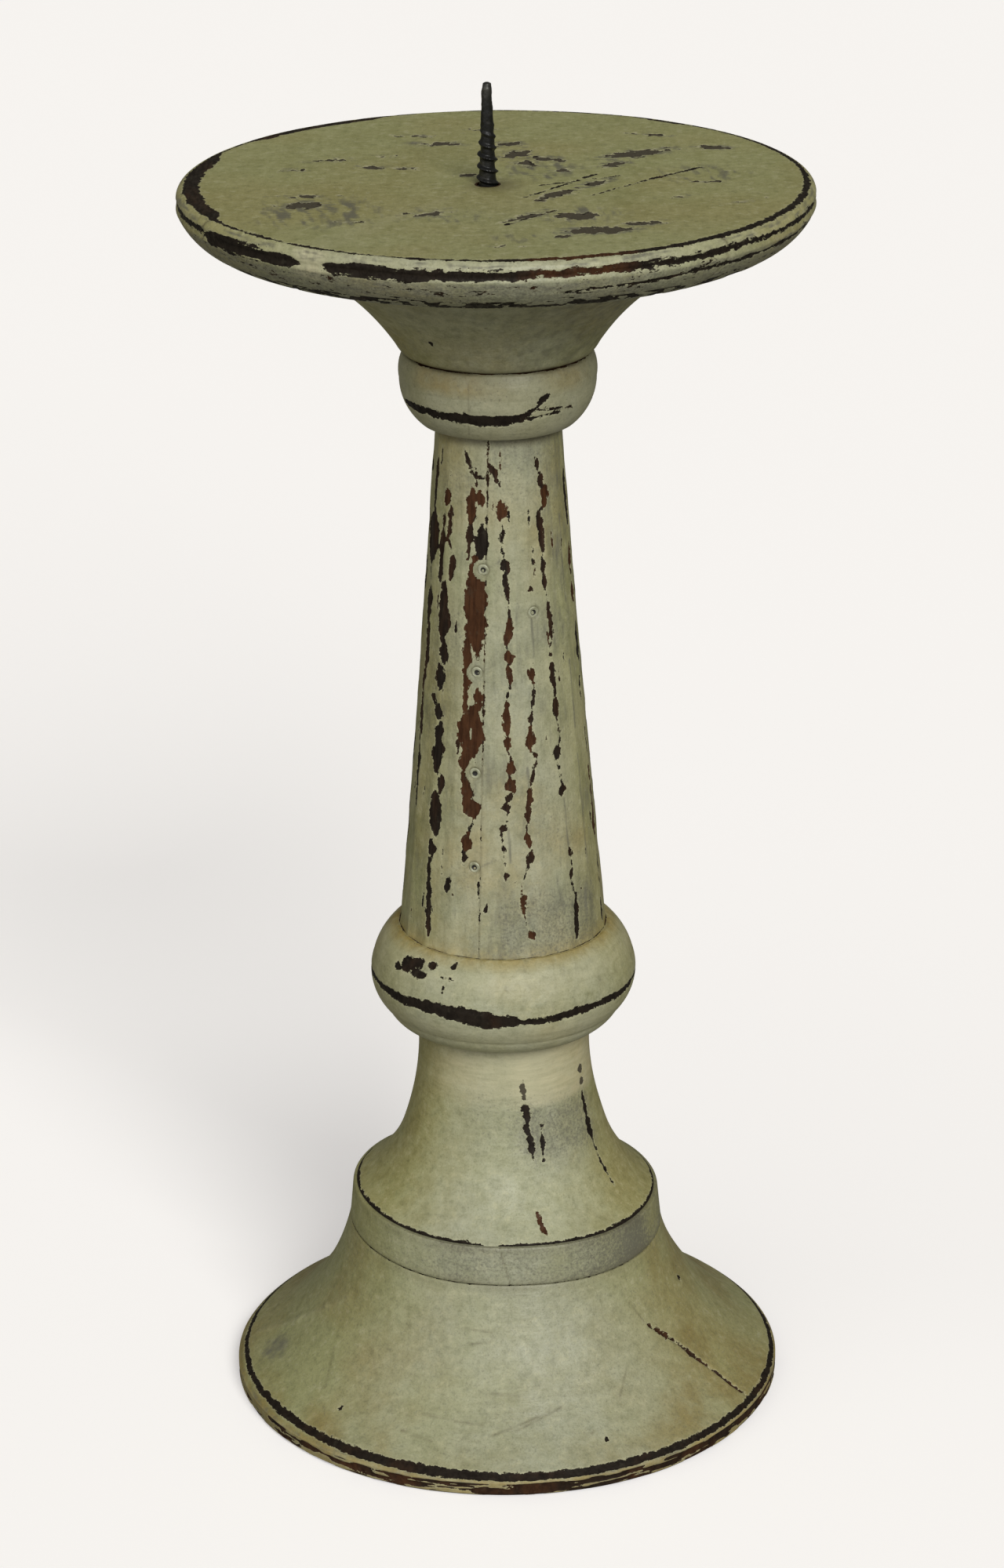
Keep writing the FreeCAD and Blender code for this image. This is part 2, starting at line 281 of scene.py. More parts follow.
# The next colour is yellow-brown for stains, and for painted shade on the sides of the foot and
# pedestal
STAIN_AND_SHADE = (0.88, 0.70, 0.42)
RAW_WOOD = (0.30, 0.19, 0.10)
TINT_BLOTCH = (0.7, 0.7, 0.58)
TINT_STROKE = (0.66, 0.64, 0.55)
TINT_DUST = (0.6, 0.59, 0.52)
TINT_SPONGE = (0.62, 0.64, 0.6)
TINT_GRAIN = (0.72, 0.7, 0.52)
PAINT_CREAM = (0.60, 0.56, 0.37)
PAINT_PEPPERED = (0.25, 0.255, 0.215)
WOOD_STAIN = (0.12, 0.11, 0.075)
WOOD_GREYED = (0.125, 0.108, 0.075)
RAW_WOOD_DARK = (0.22, 0.13, 0.065)
IRON_DARK = (0.010, 0.010, 0.011)
IRON_GREYED = (0.10, 0.095, 0.085)
# The next colour is the grey of the painted sheen towards the spike's tip
IRON_PAINTED_SHEEN = (0.17, 0.165, 0.15)
BRAD_PAINT = (0.3, 0.3, 0.19)
BRAD_BARE = (0.02, 0.018, 0.016)
TINT_FIBRE = (0.35, 0.3, 0.28)
TINT_RAW_FIBRE = (0.45, 0.4, 0.35)
LAMP_COLOUR = (1.0, 1.0, 0.98)
FILL_COLOUR = (1.0, 0.97, 0.8)
FLOOR_BASE = (0.95, 0.93, 0.9)
FLOOR_BASE_PALE = (0.97, 0.95, 0.92)
IRON = (0.022, 0.022, 0.022)
FLOOR = (0.85, 0.83, 0.875)


def value_noise(points, size, seed):
    """Smooth noise from -1 to 1, in cells of that size."""
    values = np.random.default_rng(seed).uniform(-1, 1, NOISE_VALUES)
    key = np.zeros(len(points), np.int64)
    weights = []
    for axis, stride in enumerate(NOISE_STRIDES):
        cell = points[:, axis] / size
        low = np.floor(cell)
        part = cell - low
        part = part * part * (3 - 2 * part)
        key += low.astype(np.int64) * stride
        weights.append((1 - part, part))
    total = np.zeros(len(points))
    for corner in itertools.product((0, 1), repeat=3):
        offset = sum(c * stride for c, stride in zip(corner, NOISE_STRIDES))
        share = weights[0][corner[0]] * weights[1][corner[1]] * weights[2][corner[2]]
        total += share * values[(key + offset) % NOISE_VALUES]
    return total


def rough_noise(points, size, seed, octaves=3):
    """Several scales of smooth noise, each half as large and half as strong as the last."""
    total = np.zeros(len(points))
    for k in range(octaves):
        total += value_noise(points, size / 2**k, seed + 17 * k) / 2**k
    return total


def wrapped(degrees):
    """An angle in degrees, brought between -180 and 180."""
    return (np.asarray(degrees, float) + 180) % 360 - 180


def plateau(value, low, high, soft):
    """1 between low and high, falling to 0 over the soft margin."""
    rise = unit((value - low) / soft + 0.5)
    fall = unit((high - value) / soft + 0.5)
    return np.minimum(rise, fall)


def unit(value):
    """A value held between 0 and 1."""
    return np.clip(value, 0, 1)


def bell(distance, width):
    """1 at no distance, and falling like a bell that wide."""
    return np.exp(-((distance / width) ** 2))


def plane(u, v):
    """Points for flat noise, which doesn't change along its third axis."""
    return np.stack([u, v, 0 * u], axis=1)


def from_segment(u, v, run, rise):
    """Distance from the segment between the origin and (run, rise), and the share passed."""
    share = unit((u * run + v * rise) / (run**2 + rise**2 + 1e-9))
    return np.hypot(u - share * run, v - share * rise), share


class Skin:
    """The points of one piece, and what wear has done at each of them, with painted light and shade
    among the marks.
    """

    def __init__(self, points, seed):
        self.points = points
        self.x, self.y, self.z = points.T
        self.radius = np.hypot(self.x, self.y)
        self.azimuth = np.degrees(np.arctan2(self.x, -self.y))
        count = len(points)
        for name in ("red", "rub", "grime", "speckle", "pale", "stain", "lift"):
            setattr(self, name, np.zeros(count))
        self.bare = np.full(count, WHOLE)
        # Painted front light: the paint turns paler towards the front, and the sides stay darker, as
        # the light falls
        front = np.cos(np.radians(self.azimuth - 4)) * unit(self.radius / 15)
        self.painted_front_light = unit((front - 0.45) / 0.5) ** 1.3
        self.ragged = rough_noise(points, RAGGED_SIZE, seed)
        self.slow = value_noise(points, SLOW_SIZE, seed + 5)

    @contextlib.contextmanager
    def torn(self, share, edge):
        """For a while, edges keep only that share of their raggedness, plus another one."""
        usual = self.ragged
        self.ragged = share * usual + edge
        yield
        self.ragged = usual

    def facing(self, start, end, soft):
        """1 between two azimuths, falling to 0 over the soft margin."""
        return plateau(self.azimuth, start, end, soft)

    def between(self, low, high, soft):
        """1 between two heights, falling to 0 over the soft margin."""
        return plateau(self.z, low, high, soft)

    def more(self, **amounts):
        """Raises marks such as rub or pale to at least these amounts."""
        for name, amount in amounts.items():
            setattr(self, name, np.maximum(getattr(self, name), amount))

    def scrape(self, inside, red=0.0, where=True):
        """Takes the paint off where inside, in mm from the patch's edge, is above zero."""
        inside = np.where(where, inside, WHOLE)
        closer = inside > self.bare
        self.bare = np.where(closer, inside, self.bare)
        self.red = np.where(closer, red, self.red)

    def past(self, azimuth):
        """Distance over the surface, to the right of an azimuth."""
        return wrapped(self.azimuth - azimuth) * np.radians(1) * self.radius

    def from_line(self, azimuth_1, height_1, azimuth_2, height_2):
        """Distance over the surface from a line, and the share of it passed."""
        run = wrapped(azimuth_2 - azimuth_1) * np.radians(1) * self.radius
        rise = height_2 - height_1
        return from_segment(self.past(azimuth_1), self.z - height_1, run, rise)

    def streak(self, start, end, width, red=0.0, ragged=0.4):
        """A bare streak with ragged edges and thin ends."""
        distance, share = self.from_line(*start, *end)
        body = 0.2 + 0.8 * np.sqrt(np.sin(np.pi * np.clip(share, 0.01, 0.99)))
        edge = (0.68 * width + 0.05) * body * (1 + ragged * self.ragged)
        self.scrape(edge - distance + 0.12 * self.ragged, red)

    def rub_line(self, start, end, width, strength=0.8):
        """A streak where the paint is thin and grey."""
        distance, _ = self.from_line(*start, *end)
        self.more(rub=strength * bell(distance, width))

    def patch(self, azimuth, height, half_width, half_height, red=0.0, ragged=0.45):
        """A bare patch on the side."""
        reach = np.hypot(self.past(azimuth) / half_width, (self.z - height) / half_height)
        size = min(half_width, half_height)
        self.scrape(size * (1 - reach) + ragged * self.ragged, red)

    def band(self, stations, ragged=0.35):
        """A bare band round the piece, given by stations of azimuth, height and width."""
        azimuths, heights, widths = np.array(stations, float).T
        height = np.interp(self.azimuth, azimuths, heights)
        width = np.interp(self.azimuth, azimuths, widths, left=-2, right=-2)
        self.scrape(width / 2 + ragged * self.ragged - np.abs(self.z - height))

    def groove(self, distance, depth, width=0.5, dirt=0.8):
        """A narrow V pressed into the surface, with dirt in it."""
        near = unit(1 - np.abs(distance) / width)
        self.lift -= depth * near
        self.more(grime=dirt * near * unit(0.8 + 0.4 * self.ragged))

    def dirt(self, amount):
        """Dirt over the paint, and in places painted shade."""
        self.grime = unit(np.maximum(self.grime, amount))


def cad_rows(*names):
    """Radius and height of every full ring of points on turned CAD nodes, from the bottom up."""
    vertices = [v.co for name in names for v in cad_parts[name].data.vertices]
    points = np.array(vertices) / MM
    radius = np.hypot(points[:, 0], points[:, 1])
    outside = radius > CORE_R
    radius, level = radius[outside], points[outside, 2].round(2)
    rows = []
    for height in np.unique(level):
        here = radius[level == height]
        if np.count_nonzero(here > here.max() - 0.03) >= FULL_RING:
            rows.append((here.max(), height))
    return np.array(rows)


def smooth_rows(rows, step=ROW):
    """The same outline in short steps: rounded through gentle turns, sharp at corners."""
    runs = np.diff(rows, axis=0)
    lengths = np.hypot(*runs.T)
    slopes = runs / lengths[:, None]
    turns = np.degrees(np.arccos(np.clip((slopes[:-1] * slopes[1:]).sum(axis=1), -1, 1)))
    leaving = slopes.copy()
    arriving = slopes.copy()
    for k, turn in enumerate(turns, start=1):
        if turn < CORNER_TURN:
            weights = np.array([lengths[k], lengths[k - 1]])
            shared = weights @ slopes[k - 1 : k + 1]
            shared /= np.hypot(*shared)
            arriving[k - 1] = leaving[k] = shared
    path = [rows[0]]
    for k, length in enumerate(lengths):
        for t in np.linspace(0, 1, max(2, math.ceil(length / step) + 1))[1:]:
            path.append(
                (1 + 2 * t) * (1 - t) ** 2 * rows[k]
                + t * (1 - t) ** 2 * length * leaving[k]
                + t * t * (3 - 2 * t) * rows[k + 1]
                - t * t * (1 - t) * length * arriving[k]
            )
    return [tuple(p) for p in path]


def across(start, end, step):
    """Points from start to end, without start."""
    length = math.hypot(end[0] - start[0], end[1] - start[1])
    shares = np.linspace(0, 1, max(2, math.ceil(length / step) + 1))[1:]
    return [tuple(np.add(start, np.subtract(end, start) * t)) for t in shares]


def closed_path(rows, below, above, flat):
    """A piece's whole outline. below and above are the bores it has: radius, end height."""
    skin = smooth_rows(rows)
    bottom, top = rows[0][1], rows[-1][1]
    path = []
    if below:
        radius, end = below
        path += [(0, end)] + across((0, end), (radius, end), HIDDEN_ROW)
        path += across((radius, end), (radius, bottom), HIDDEN_ROW)
    else:
        path += [(0, bottom)]
    path += across(path[-1], skin[0], flat)
    first = len(path) - 1
    path += skin[1:]
    last = len(path) - 1
    if above:
        radius, end = above
        path += across(skin[-1], (radius, top), flat)
        path += across((radius, top), (radius, end), HIDDEN_ROW)
        path += across((radius, end), (0, end), HIDDEN_ROW)
    else:
        path += across(skin[-1], (0, top), flat)
    return path, first, last


def through_path(rows, bore, flat, under):
    """The closed outline of a ring with a hole right through it. under is the sole's step."""
    skin = smooth_rows(rows)
    bottom, top = rows[0][1], rows[-1][1]
    path = [(bore, bottom)] + across((bore, bottom), skin[0], under)
    first = len(path) - 1
    path += skin[1:]
    last = len(path) - 1
    path += across(skin[-1], (bore, top), flat)
    path += across((bore, top), (bore, bottom), HIDDEN_ROW)[:-1]
    return path, first, last


def ring_count(radius, around, widest):
    """Points on a ring: halved towards the axis, so that they stay about as far apart."""
    count = around
    while count > 16 and radius < 0.62 * widest * count / around:
        count //= 2
    return count


def bridge(lower, upper):
    """Faces between two rings of point numbers, whose counts are equal or one is double."""
    small, large = sorted((len(lower), len(upper)))
    if small > 1 and large > 2 * small:
        raise ValueError("neighbouring rings differ by more than a factor of two")
    if small == 1:
        ring, tip = (upper, lower[0]) if len(lower) == 1 else (lower, upper[0])
        after = np.roll(ring, -1)
        tips = np.full(len(ring), tip)
        order = (tips, after, ring) if len(lower) == 1 else (ring, after, tips)
        return np.stack(order, axis=1).tolist()
    if small == large:
        return np.stack([lower, np.roll(lower, -1), np.roll(upper, -1), upper], axis=1).tolist()
    if len(lower) > len(upper):
        start, middle, end = lower[::2], lower[1::2], np.roll(lower[::2], -1)
        after = np.roll(upper, -1)
        left = np.stack([start, middle, upper], axis=1)
        centre = np.stack([middle, after, upper], axis=1)
        right = np.stack([middle, end, after], axis=1)
    else:
        start, middle, end = upper[::2], upper[1::2], np.roll(upper[::2], -1)
        after = np.roll(lower, -1)
        left = np.stack([lower, middle, start], axis=1)
        centre = np.stack([lower, after, middle], axis=1)
        right = np.stack([after, end, middle], axis=1)
    return np.concatenate([left, centre, right]).tolist()


def stack(rings, closed=False):
    """Points and faces of a shape that is given by its rings of points."""
    starts = np.cumsum([0] + [len(ring) for ring in rings])
    numbers = [np.arange(start, end) for start, end in zip(starts, starts[1:])]
    pairs = list(zip(numbers, numbers[1:]))
    if closed:
        pairs.append((numbers[-1], numbers[0]))
    return np.concatenate(rings), [face for pair in pairs for face in bridge(*pair)]


def turns(number):
    """That many even turns round a circle, in radians."""
    return np.arange(number) * 2 * np.pi / number


def ring_points(turn, reach, height):
    """A level ring, counted from the front."""
    return np.stack([reach * np.sin(turn), -reach * np.cos(turn), np.full(len(turn), height)]).T


def lathe(path, first, last, around, closed=False, section=None):
    """Points, faces and skin marks of a turned shape. section changes a row's plan."""
    widest = max(radius for radius, _ in path)
    rings, marks = [], []
    for k, (radius, height) in enumerate(path):
        turn = turns(1 if radius < 1e-6 else ring_count(radius, around, widest))
        reach = np.full(len(turn), radius)
        if section and first <= k <= last and len(turn) > 1:
            reach = section(radius, np.degrees(turn))
        rings.append(ring_points(turn, reach, height))
        marks.append(np.full(len(turn), float(first <= k <= last)))
    return (*stack(rings, closed), np.concatenate(marks))


def bored_shape(nodes, below, above, section=None):
    """A turned shape, with the bores that it has in its sole and its top."""
    row, around, _ = MESHES[nodes[0]]
    return lathe(*closed_path(cad_rows(*nodes), below, above, row), around, section=section)


def ring_shape(nodes, bore, sole=None):
    """A turned ring. sole is the step of the rows below it, and its top is painted with it."""
    row, around, _ = MESHES[nodes[0]]
    path, first, last = through_path(cad_rows(*nodes), bore, row, sole or row)
    if sole:
        last = max(k for k, (r, z) in enumerate(path) if z == path[last][1] and r > bore)
    return lathe(path, first, last, around, closed=True)


def facet_section(radius, azimuth):
    """The column's plan: flats between corners that are barely rounded."""
    half = 180 / FACETS
    off = (azimuth - FACET_EDGE) % (2 * half) - half
    flat = radius * math.cos(math.radians(half)) / np.cos(np.radians(off))
    cap = radius * 0.9992
    soft = FACET_SOFTNESS
    return -soft * np.log(np.exp(-(flat - cap) / soft) + 1) + cap


def settle(points):
    """The band between foot and pedestal is not quite level: it dips towards the right."""
    x, _, z = points.T
    amount = unit((z - 28) / 20) * unit((86 - z) / 24)
    dip = -1.1 * x / 40 + 0.25 * np.sin(x / 9 + 1)
    points[:, 2] += dip * amount * amount * (3 - 2 * amount)
    return points


def shift_bore(points):
    """Slides the middle of the flat pan sideways, so that its bore meets the screw."""
    share = unit((46 - np.hypot(points[:, 0], points[:, 1])) / 36)
    points[:, :2] += np.outer(share * share * (3 - 2 * share), SCREW_PLACE)


MARKS = ("bare", "red", "rub", "grime", "speckle", "pale", "painted_front_light", "stain")
HIDDEN_MARKS = {"bare": 2.0, "red": 0.7}


def finish_mesh(mesh, layers, corner):
    """Stores the marks as layers, and shades the mesh smooth but for corners over that angle."""
    for name, values in layers.items():
        layer = mesh.attributes.new(name, "FLOAT", "POINT")
        layer.data.foreach_set("value", np.asarray(values, np.float32))
    mesh.polygons.foreach_set("use_smooth", np.ones(len(mesh.polygons), bool))
    mesh.set_sharp_from_angle(angle=math.radians(corner))


def make_piece(node, solid, wear, seed, material, cut=None):
    """One worn piece of a turned solid, cut at a glue plane, which stands for its CAD node."""
    points, faces, marks = solid
    mesh = bpy.data.meshes.new(node)
    mesh.from_pydata(points.tolist(), [], faces)
    skin_layer = mesh.attributes.new("skin", "FLOAT", "POINT")
    skin_layer.data.foreach_set("value", marks)
    work = bmesh.new()
    work.from_mesh(mesh)
    bmesh.ops.recalc_face_normals(work, faces=work.faces)
    if cut:
        place, normal = cut
        bmesh.ops.bisect_plane(
            work,
            geom=work.verts[:] + work.edges[:] + work.faces[:],
            dist=1e-5,
            plane_co=place,
            plane_no=normal,
            clear_inner=True,
        )
    work.normal_update()
    normals = np.array([v.normal for v in work.verts])
    if cut:
        rim = [edge for edge in work.edges if edge.is_boundary]
        bmesh.ops.triangle_fill(work, edges=rim, use_beauty=True, normal=-normal)
        bmesh.ops.recalc_face_normals(work, faces=work.faces)
    work.to_mesh(mesh)
    work.free()

    count = len(mesh.vertices)
    points = np.zeros(count * 3)
    mesh.vertices.foreach_get("co", points)
    points = points.reshape(-1, 3)
    marks = np.zeros(count)
    mesh.attributes["skin"].data.foreach_get("value", marks)
    skin = Skin(points, seed)
    wear(skin)
    depth = unit((skin.bare + 0.05) / 0.35)
    skin.lift -= 0.16 * depth * depth * (3 - 2 * depth)
    skin.lift += 0.07 * skin.slow
    if cut:
        place, normal = np.array(cut[0]), np.array(cut[1])
        on_cut = np.abs((points - place) @ normal) < 1e-4
        sideways = normals - np.outer(normals @ normal, normal)
        normals = np.where(on_cut[:, None], sideways, normals)
    points = points + normals * (skin.lift * (marks > 0.5))[:, None]
    points = settle(points) * MM
    mesh.vertices.foreach_set("co", points.ravel())
    mesh.attributes.remove(mesh.attributes["skin"])
    layers = {name: getattr(skin, name) for name in MARKS}
    for name, hidden in HIDDEN_MARKS.items():
        layers[name] = np.where(marks > 0.5, layers[name], hidden)
    finish_mesh(mesh, layers, PAINT_CORNER)
    mesh.update()
    mesh.validate()
    place_piece(node + "_painted", mesh, material, node)


def make_pieces(nodes, solid, wear, material, place=None, way=None):
    """The pieces of one turned shape: two, on the two sides of a glue plane, or only one."""
    seed = MESHES[nodes[0]][2]
    cuts = [(place, way), (place, -way)] if place is not None else [None]
    for node, cut in zip(nodes, cuts):
        make_piece(node, solid, wear, seed, material, cut)


def add_object(name, data):
    """A new object in the scene."""
    thing = bpy.data.objects.new(name, data)
    bpy.context.scene.collection.objects.link(thing)
    return thing


def place_piece(name, mesh, material, node):
    """Puts a finished mesh into the scene in its CAD node's stead."""
    piece = add_object(name, mesh)
    mesh.materials.append(material)
    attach(piece, "root")
    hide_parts(node)


class Shader:
    """A small helper that adds nodes to one material and joins them."""

    def __init__(self, name):
        self.material = bpy.data.materials.new(name)
        self.material.use_nodes = True
        self.nodes = self.material.node_tree.nodes
        self.links = self.material.node_tree.links
        self.nodes.clear()
        self.out = self.nodes.new("ShaderNodeOutputMaterial")
        self.surface = self.nodes.new("ShaderNodeBsdfPrincipled")
        self.links.new(self.surface.outputs["BSDF"], self.out.inputs["Surface"])
        self.place = self.nodes.new("ShaderNodeTexCoord").outputs["Object"]

    def set(self, socket, value):
        """Sets an input, or links it where the value is another node's output."""
        if isinstance(value, bpy.types.NodeSocket):
            self.links.new(value, socket)
        elif isinstance(value, tuple) and len(value) == 3 and len(socket.default_value) == 4:
            socket.default_value = (*value, 1.0)
        else:
            socket.default_value = value

    def node(self, kind, inputs, **settings):
        """Adds a node with these inputs and settings."""
        node = self.nodes.new("ShaderNode" + kind)
        for name, value in settings.items():
            setattr(node, name, value)
        for name, value in inputs.items():
            self.set(node.inputs[name], value)
        return node

    def attribute(self, name):
        return self.node("Attribute", {}, attribute_name=name).outputs["Fac"]

    def math(self, operation, first, second):
        return self.node("Math", {0: first, 1: second}, operation=operation).outputs[0]

    def noise(self, size, detail=3.0, stretch=(1, 1, 1), rough=0.55):
        """Noise with features of that size in mm, stretched along the axes."""
        scale = tuple(1 / s for s in stretch)
        place = self.node("Mapping", {"Vector": self.place, "Scale": scale}).outputs["Vector"]
        inputs = {"Vector": place, "Scale": 1 / (size * MM), "Detail": detail, "Roughness": rough}
        return self.node("TexNoise", inputs).outputs["Fac"]

    def ramp(self, value, low, high, start=0.0, end=1.0):
        """Maps low to high smoothly onto start to end, and no further."""
        inputs = {"Value": value, "From Min": low, "From Max": high, "To Min": start, "To Max": end}
        return self.node("MapRange", inputs, interpolation_type="SMOOTHSTEP").outputs["Result"]

    def mix(self, amount, first, second, blend="MIX"):
        inputs = {"Factor": amount, "A": first, "B": second}
        return self.node("Mix", inputs, data_type="RGBA", blend_type=blend).outputs["Result"]

    def tint(self, amount, colour, tint):
        """The colour, multiplied by the tint by that amount."""
        return self.mix(amount, colour, tint, "MULTIPLY")

    def add(self, first, second, factor):
        """first, plus factor times second."""
        return self.math("ADD", first, self.math("MULTIPLY", second, factor))

    def finish(self, colour, roughness, normal):
        """Joins the three to the surface, and gives the material."""
        self.set(self.surface.inputs["Base Color"], colour)
        self.set(self.surface.inputs["Roughness"], roughness)
        self.set(self.surface.inputs["Normal"], normal)
        return self.material

    def bump(self, height, distance, below=None):
        """A bump whose full height is that many mm, on top of another one."""
        inputs = {"Strength": 1.0, "Distance": distance * MM, "Height": height}
        if below:
            inputs["Normal"] = below
        return self.node("Bump", inputs).outputs["Normal"]


def painted_wood(name, grain, brushing, tearing):
    """Old matt paint over dark wood. The three tuples stretch noise along their axes."""
    s = Shader(name)
    clouds = s.noise(34, 3)
    warmth = s.noise(60, 2)
    blotches = s.noise(6, 6, rough=0.68)
    strokes = s.noise(1.1, 3, brushing)
    dust = s.noise(0.55, 2)

    paint = s.mix(s.ramp(warmth, 0.38, 0.66), PAINT, PAINT_WARM)
    # Painted front light: paler paint towards the front
    painted_front_light = s.math("MULTIPLY", s.attribute("painted_front_light"), s.ramp(clouds, 0.25, 0.7, 0.55, 1.0))
    paint = s.mix(painted_front_light, paint, PAINT_PALER_AND_LIT)
    paint = s.tint(s.ramp(blotches, 0.35, 0.7, 0.0, 0.5), paint, TINT_BLOTCH)
    paint = s.tint(s.ramp(strokes, 0.3, 0.75, 0.0, 0.22), paint, TINT_STROKE)
    paint = s.tint(s.ramp(dust, 0.45, 0.8, 0.0, 0.55), paint, TINT_DUST)
    sponge = s.noise(2.4, 4, rough=0.7)
    paint = s.tint(s.ramp(sponge, 0.5, 0.68, 0.0, 0.5), paint, TINT_SPONGE)
    paint = s.mix(s.ramp(sponge, 0.47, 0.32, 0.0, 0.4), paint, PAINT_PALE)
    streaked = s.noise(9, 4, grain, rough=0.6)
    paint = s.tint(s.ramp(streaked, 0.52, 0.72, 0.0, 0.35), paint, TINT_GRAIN)
    cream = s.math("MULTIPLY", s.attribute("pale"), s.ramp(strokes, 0.25, 0.7, 1.0, 0.6))
    paint = s.mix(cream, paint, PAINT_CREAM)
    # Stain, and on the foot and pedestal painted shade towards the sides
    tint = s.math("MULTIPLY", s.attribute("stain"), s.ramp(blotches, 0.3, 0.6, 0.35, 1.0))
    paint = s.tint(tint, paint, STAIN_AND_SHADE)
    thin = s.add(s.attribute("rub"), s.noise(1.3, 4, grain), 1.3)
    paint = s.mix(s.ramp(thin, 0.8, 1.7, 0, 0.85), paint, PAINT_RUBBED)
    pepper = s.add(s.attribute("speckle"), s.noise(0.8, 4, rough=0.7), 2.2)
    paint = s.mix(s.math("MULTIPLY", s.attribute("speckle"), 0.4), paint, PAINT_PEPPERED)
    paint = s.mix(s.ramp(pepper, 1.4, 2.2, 0, 0.8), paint, PAINT_RUBBED)
    specks = s.ramp(s.noise(2.6, 2, rough=0.8), 0.76, 0.8, 0, 0.75)
    paint = s.mix(specks, paint, GRIME_AND_SHADE)
    # Dirt, and painted shade by the joints
    dirt = s.math("MULTIPLY", s.attribute("grime"), s.ramp(blotches, 0.2, 0.75, 1.15, 0.6))
    paint = s.mix(dirt, paint, GRIME_AND_SHADE)

    flake = s.math("MULTIPLY", s.math("SUBTRACT", s.noise(1.3, 5, tearing, 0.72), 0.5), 3.0)
    edge = s.math("ADD", s.attribute("bare"), flake)
    gone = s.ramp(edge, -0.05, 0.07)
    # A pale rim round the bare patches: paler paint at the paint's cut edge, and a painted highlight
    # on it
    lip = s.ramp(edge, -0.45, -0.1, 0.0, 0.35)
    paint = s.mix(lip, paint, PAINT_PALE)

    fibre = s.noise(0.9, 4, grain)
    redness = s.add(s.attribute("red"), s.noise(5, 4, grain), 1.3)
    wood = s.mix(s.ramp(redness, 0.72, 1.5), BARE_BLACK, BARE_RED)
    wood = s.tint(s.ramp(fibre, 0.35, 0.7, 0.0, 0.75), wood, TINT_FIBRE)
    stain = s.ramp(s.noise(2.2, 3), 0.58, 0.74, 0, 0.14)
    wood = s.mix(stain, wood, WOOD_STAIN)
    wood = s.mix(s.ramp(s.attribute("pale"), 0.5, 0.9, 0.0, 0.7), wood, WOOD_GREYED)

    sheen = s.ramp(blotches, 0.3, 0.75, 0.42, 0.58)
    dull = s.ramp(fibre, 0.3, 0.7, 0.5, 0.72)
    shine = s.ramp(gone, 0.0, 1.0, 0.4, 0.15)
    s.set(s.surface.inputs["Specular IOR Level"], shine)
    relief = s.bump(s.noise(3.2, 4, brushing), 0.26)
    relief = s.bump(sponge, 0.2, relief)
    relief = s.bump(strokes, 0.05, relief)
    relief = s.bump(s.math("MULTIPLY", gone, -1.0), 0.07, relief)
    return s.finish(s.mix(gone, paint, wood), s.mix(gone, sheen, dull), relief)


def raw_wood():
    """Unpainted dowel wood, hidden inside the joints."""
    s = Shader("dowel_wood")
    fibre = s.noise(0.8, 4, (1, 1, 14))
    rings = s.noise(5, 3, (1, 1, 6))
    wood = s.mix(s.ramp(rings, 0.3, 0.7), RAW_WOOD, RAW_WOOD_DARK)
    wood = s.tint(s.ramp(fibre, 0.45, 0.75, 0, 0.5), wood, TINT_RAW_FIBRE)
    return s.finish(wood, s.ramp(fibre, 0.3, 0.7, 0.55, 0.8), s.bump(fibre, 0.06))


def blackened_iron():
    """The pricket's old black iron, with a painted sheen a little brighter towards the tip."""
    s = Shader("blackened_iron")
    scale = s.noise(1.2, 4, rough=0.65)
    patches = s.noise(4, 3)
    colour = s.mix(s.ramp(scale, 0.35, 0.7), IRON, IRON_DARK)
    colour = s.mix(s.ramp(patches, 0.56, 0.75, 0, 0.5), colour, IRON_GREYED)
    # Painted sheen towards the tip
    colour = s.mix(s.attribute("pale"), colour, IRON_PAINTED_SHEEN)
    s.surface.inputs["Metallic"].default_value = 0.55
    return s.finish(colour, s.ramp(scale, 0.3, 0.75, 0.24, 0.5), s.bump(scale, 0.12))


def painted_brad():
    """Steel brad heads under the same paint, which has gone from their middles."""
    s = Shader("brad_paint")
    mottle = s.noise(1.4, 4)
    paint = s.mix(s.ramp(mottle, 0.35, 0.65), BRAD_PAINT, PAINT_PALER_AND_LIT)
    edge = s.add(s.attribute("bare"), s.noise(0.8, 3), 0.9)
    gone = s.ramp(edge, 0.42, 0.55)
    colour = s.mix(gone, paint, BRAD_BARE)
    return s.finish(colour, s.ramp(mottle, 0.3, 0.7, 0.4, 0.6), s.bump(mottle, 0.1))


def joint_dirt_and_shade(skin, depth, *levels):
    """A closed groove with dirt in it at each of the levels, and painted shade a few mm either side.
    """
    for level in levels:
        skin.groove(skin.z - level, depth, 0.6, 0.45)
        # Painted shade with some dirt, fading over a few mm from the joint
        near = bell(skin.z - level, 2.2)
        skin.dirt(near * (0.22 + 0.25 * skin.slow))


def dirty_groove(skin, reach):
    """Dirt by the groove under the cove, thickest on both sides of the front."""
    dirty = skin.facing(-56, -12, 14) + skin.facing(24, 62, 14)
    near = unit(1 - np.abs(skin.z - COVE_BOTTOM) / reach)
    skin.dirt(near * unit(0.45 + 0.5 * dirty))
    return dirty


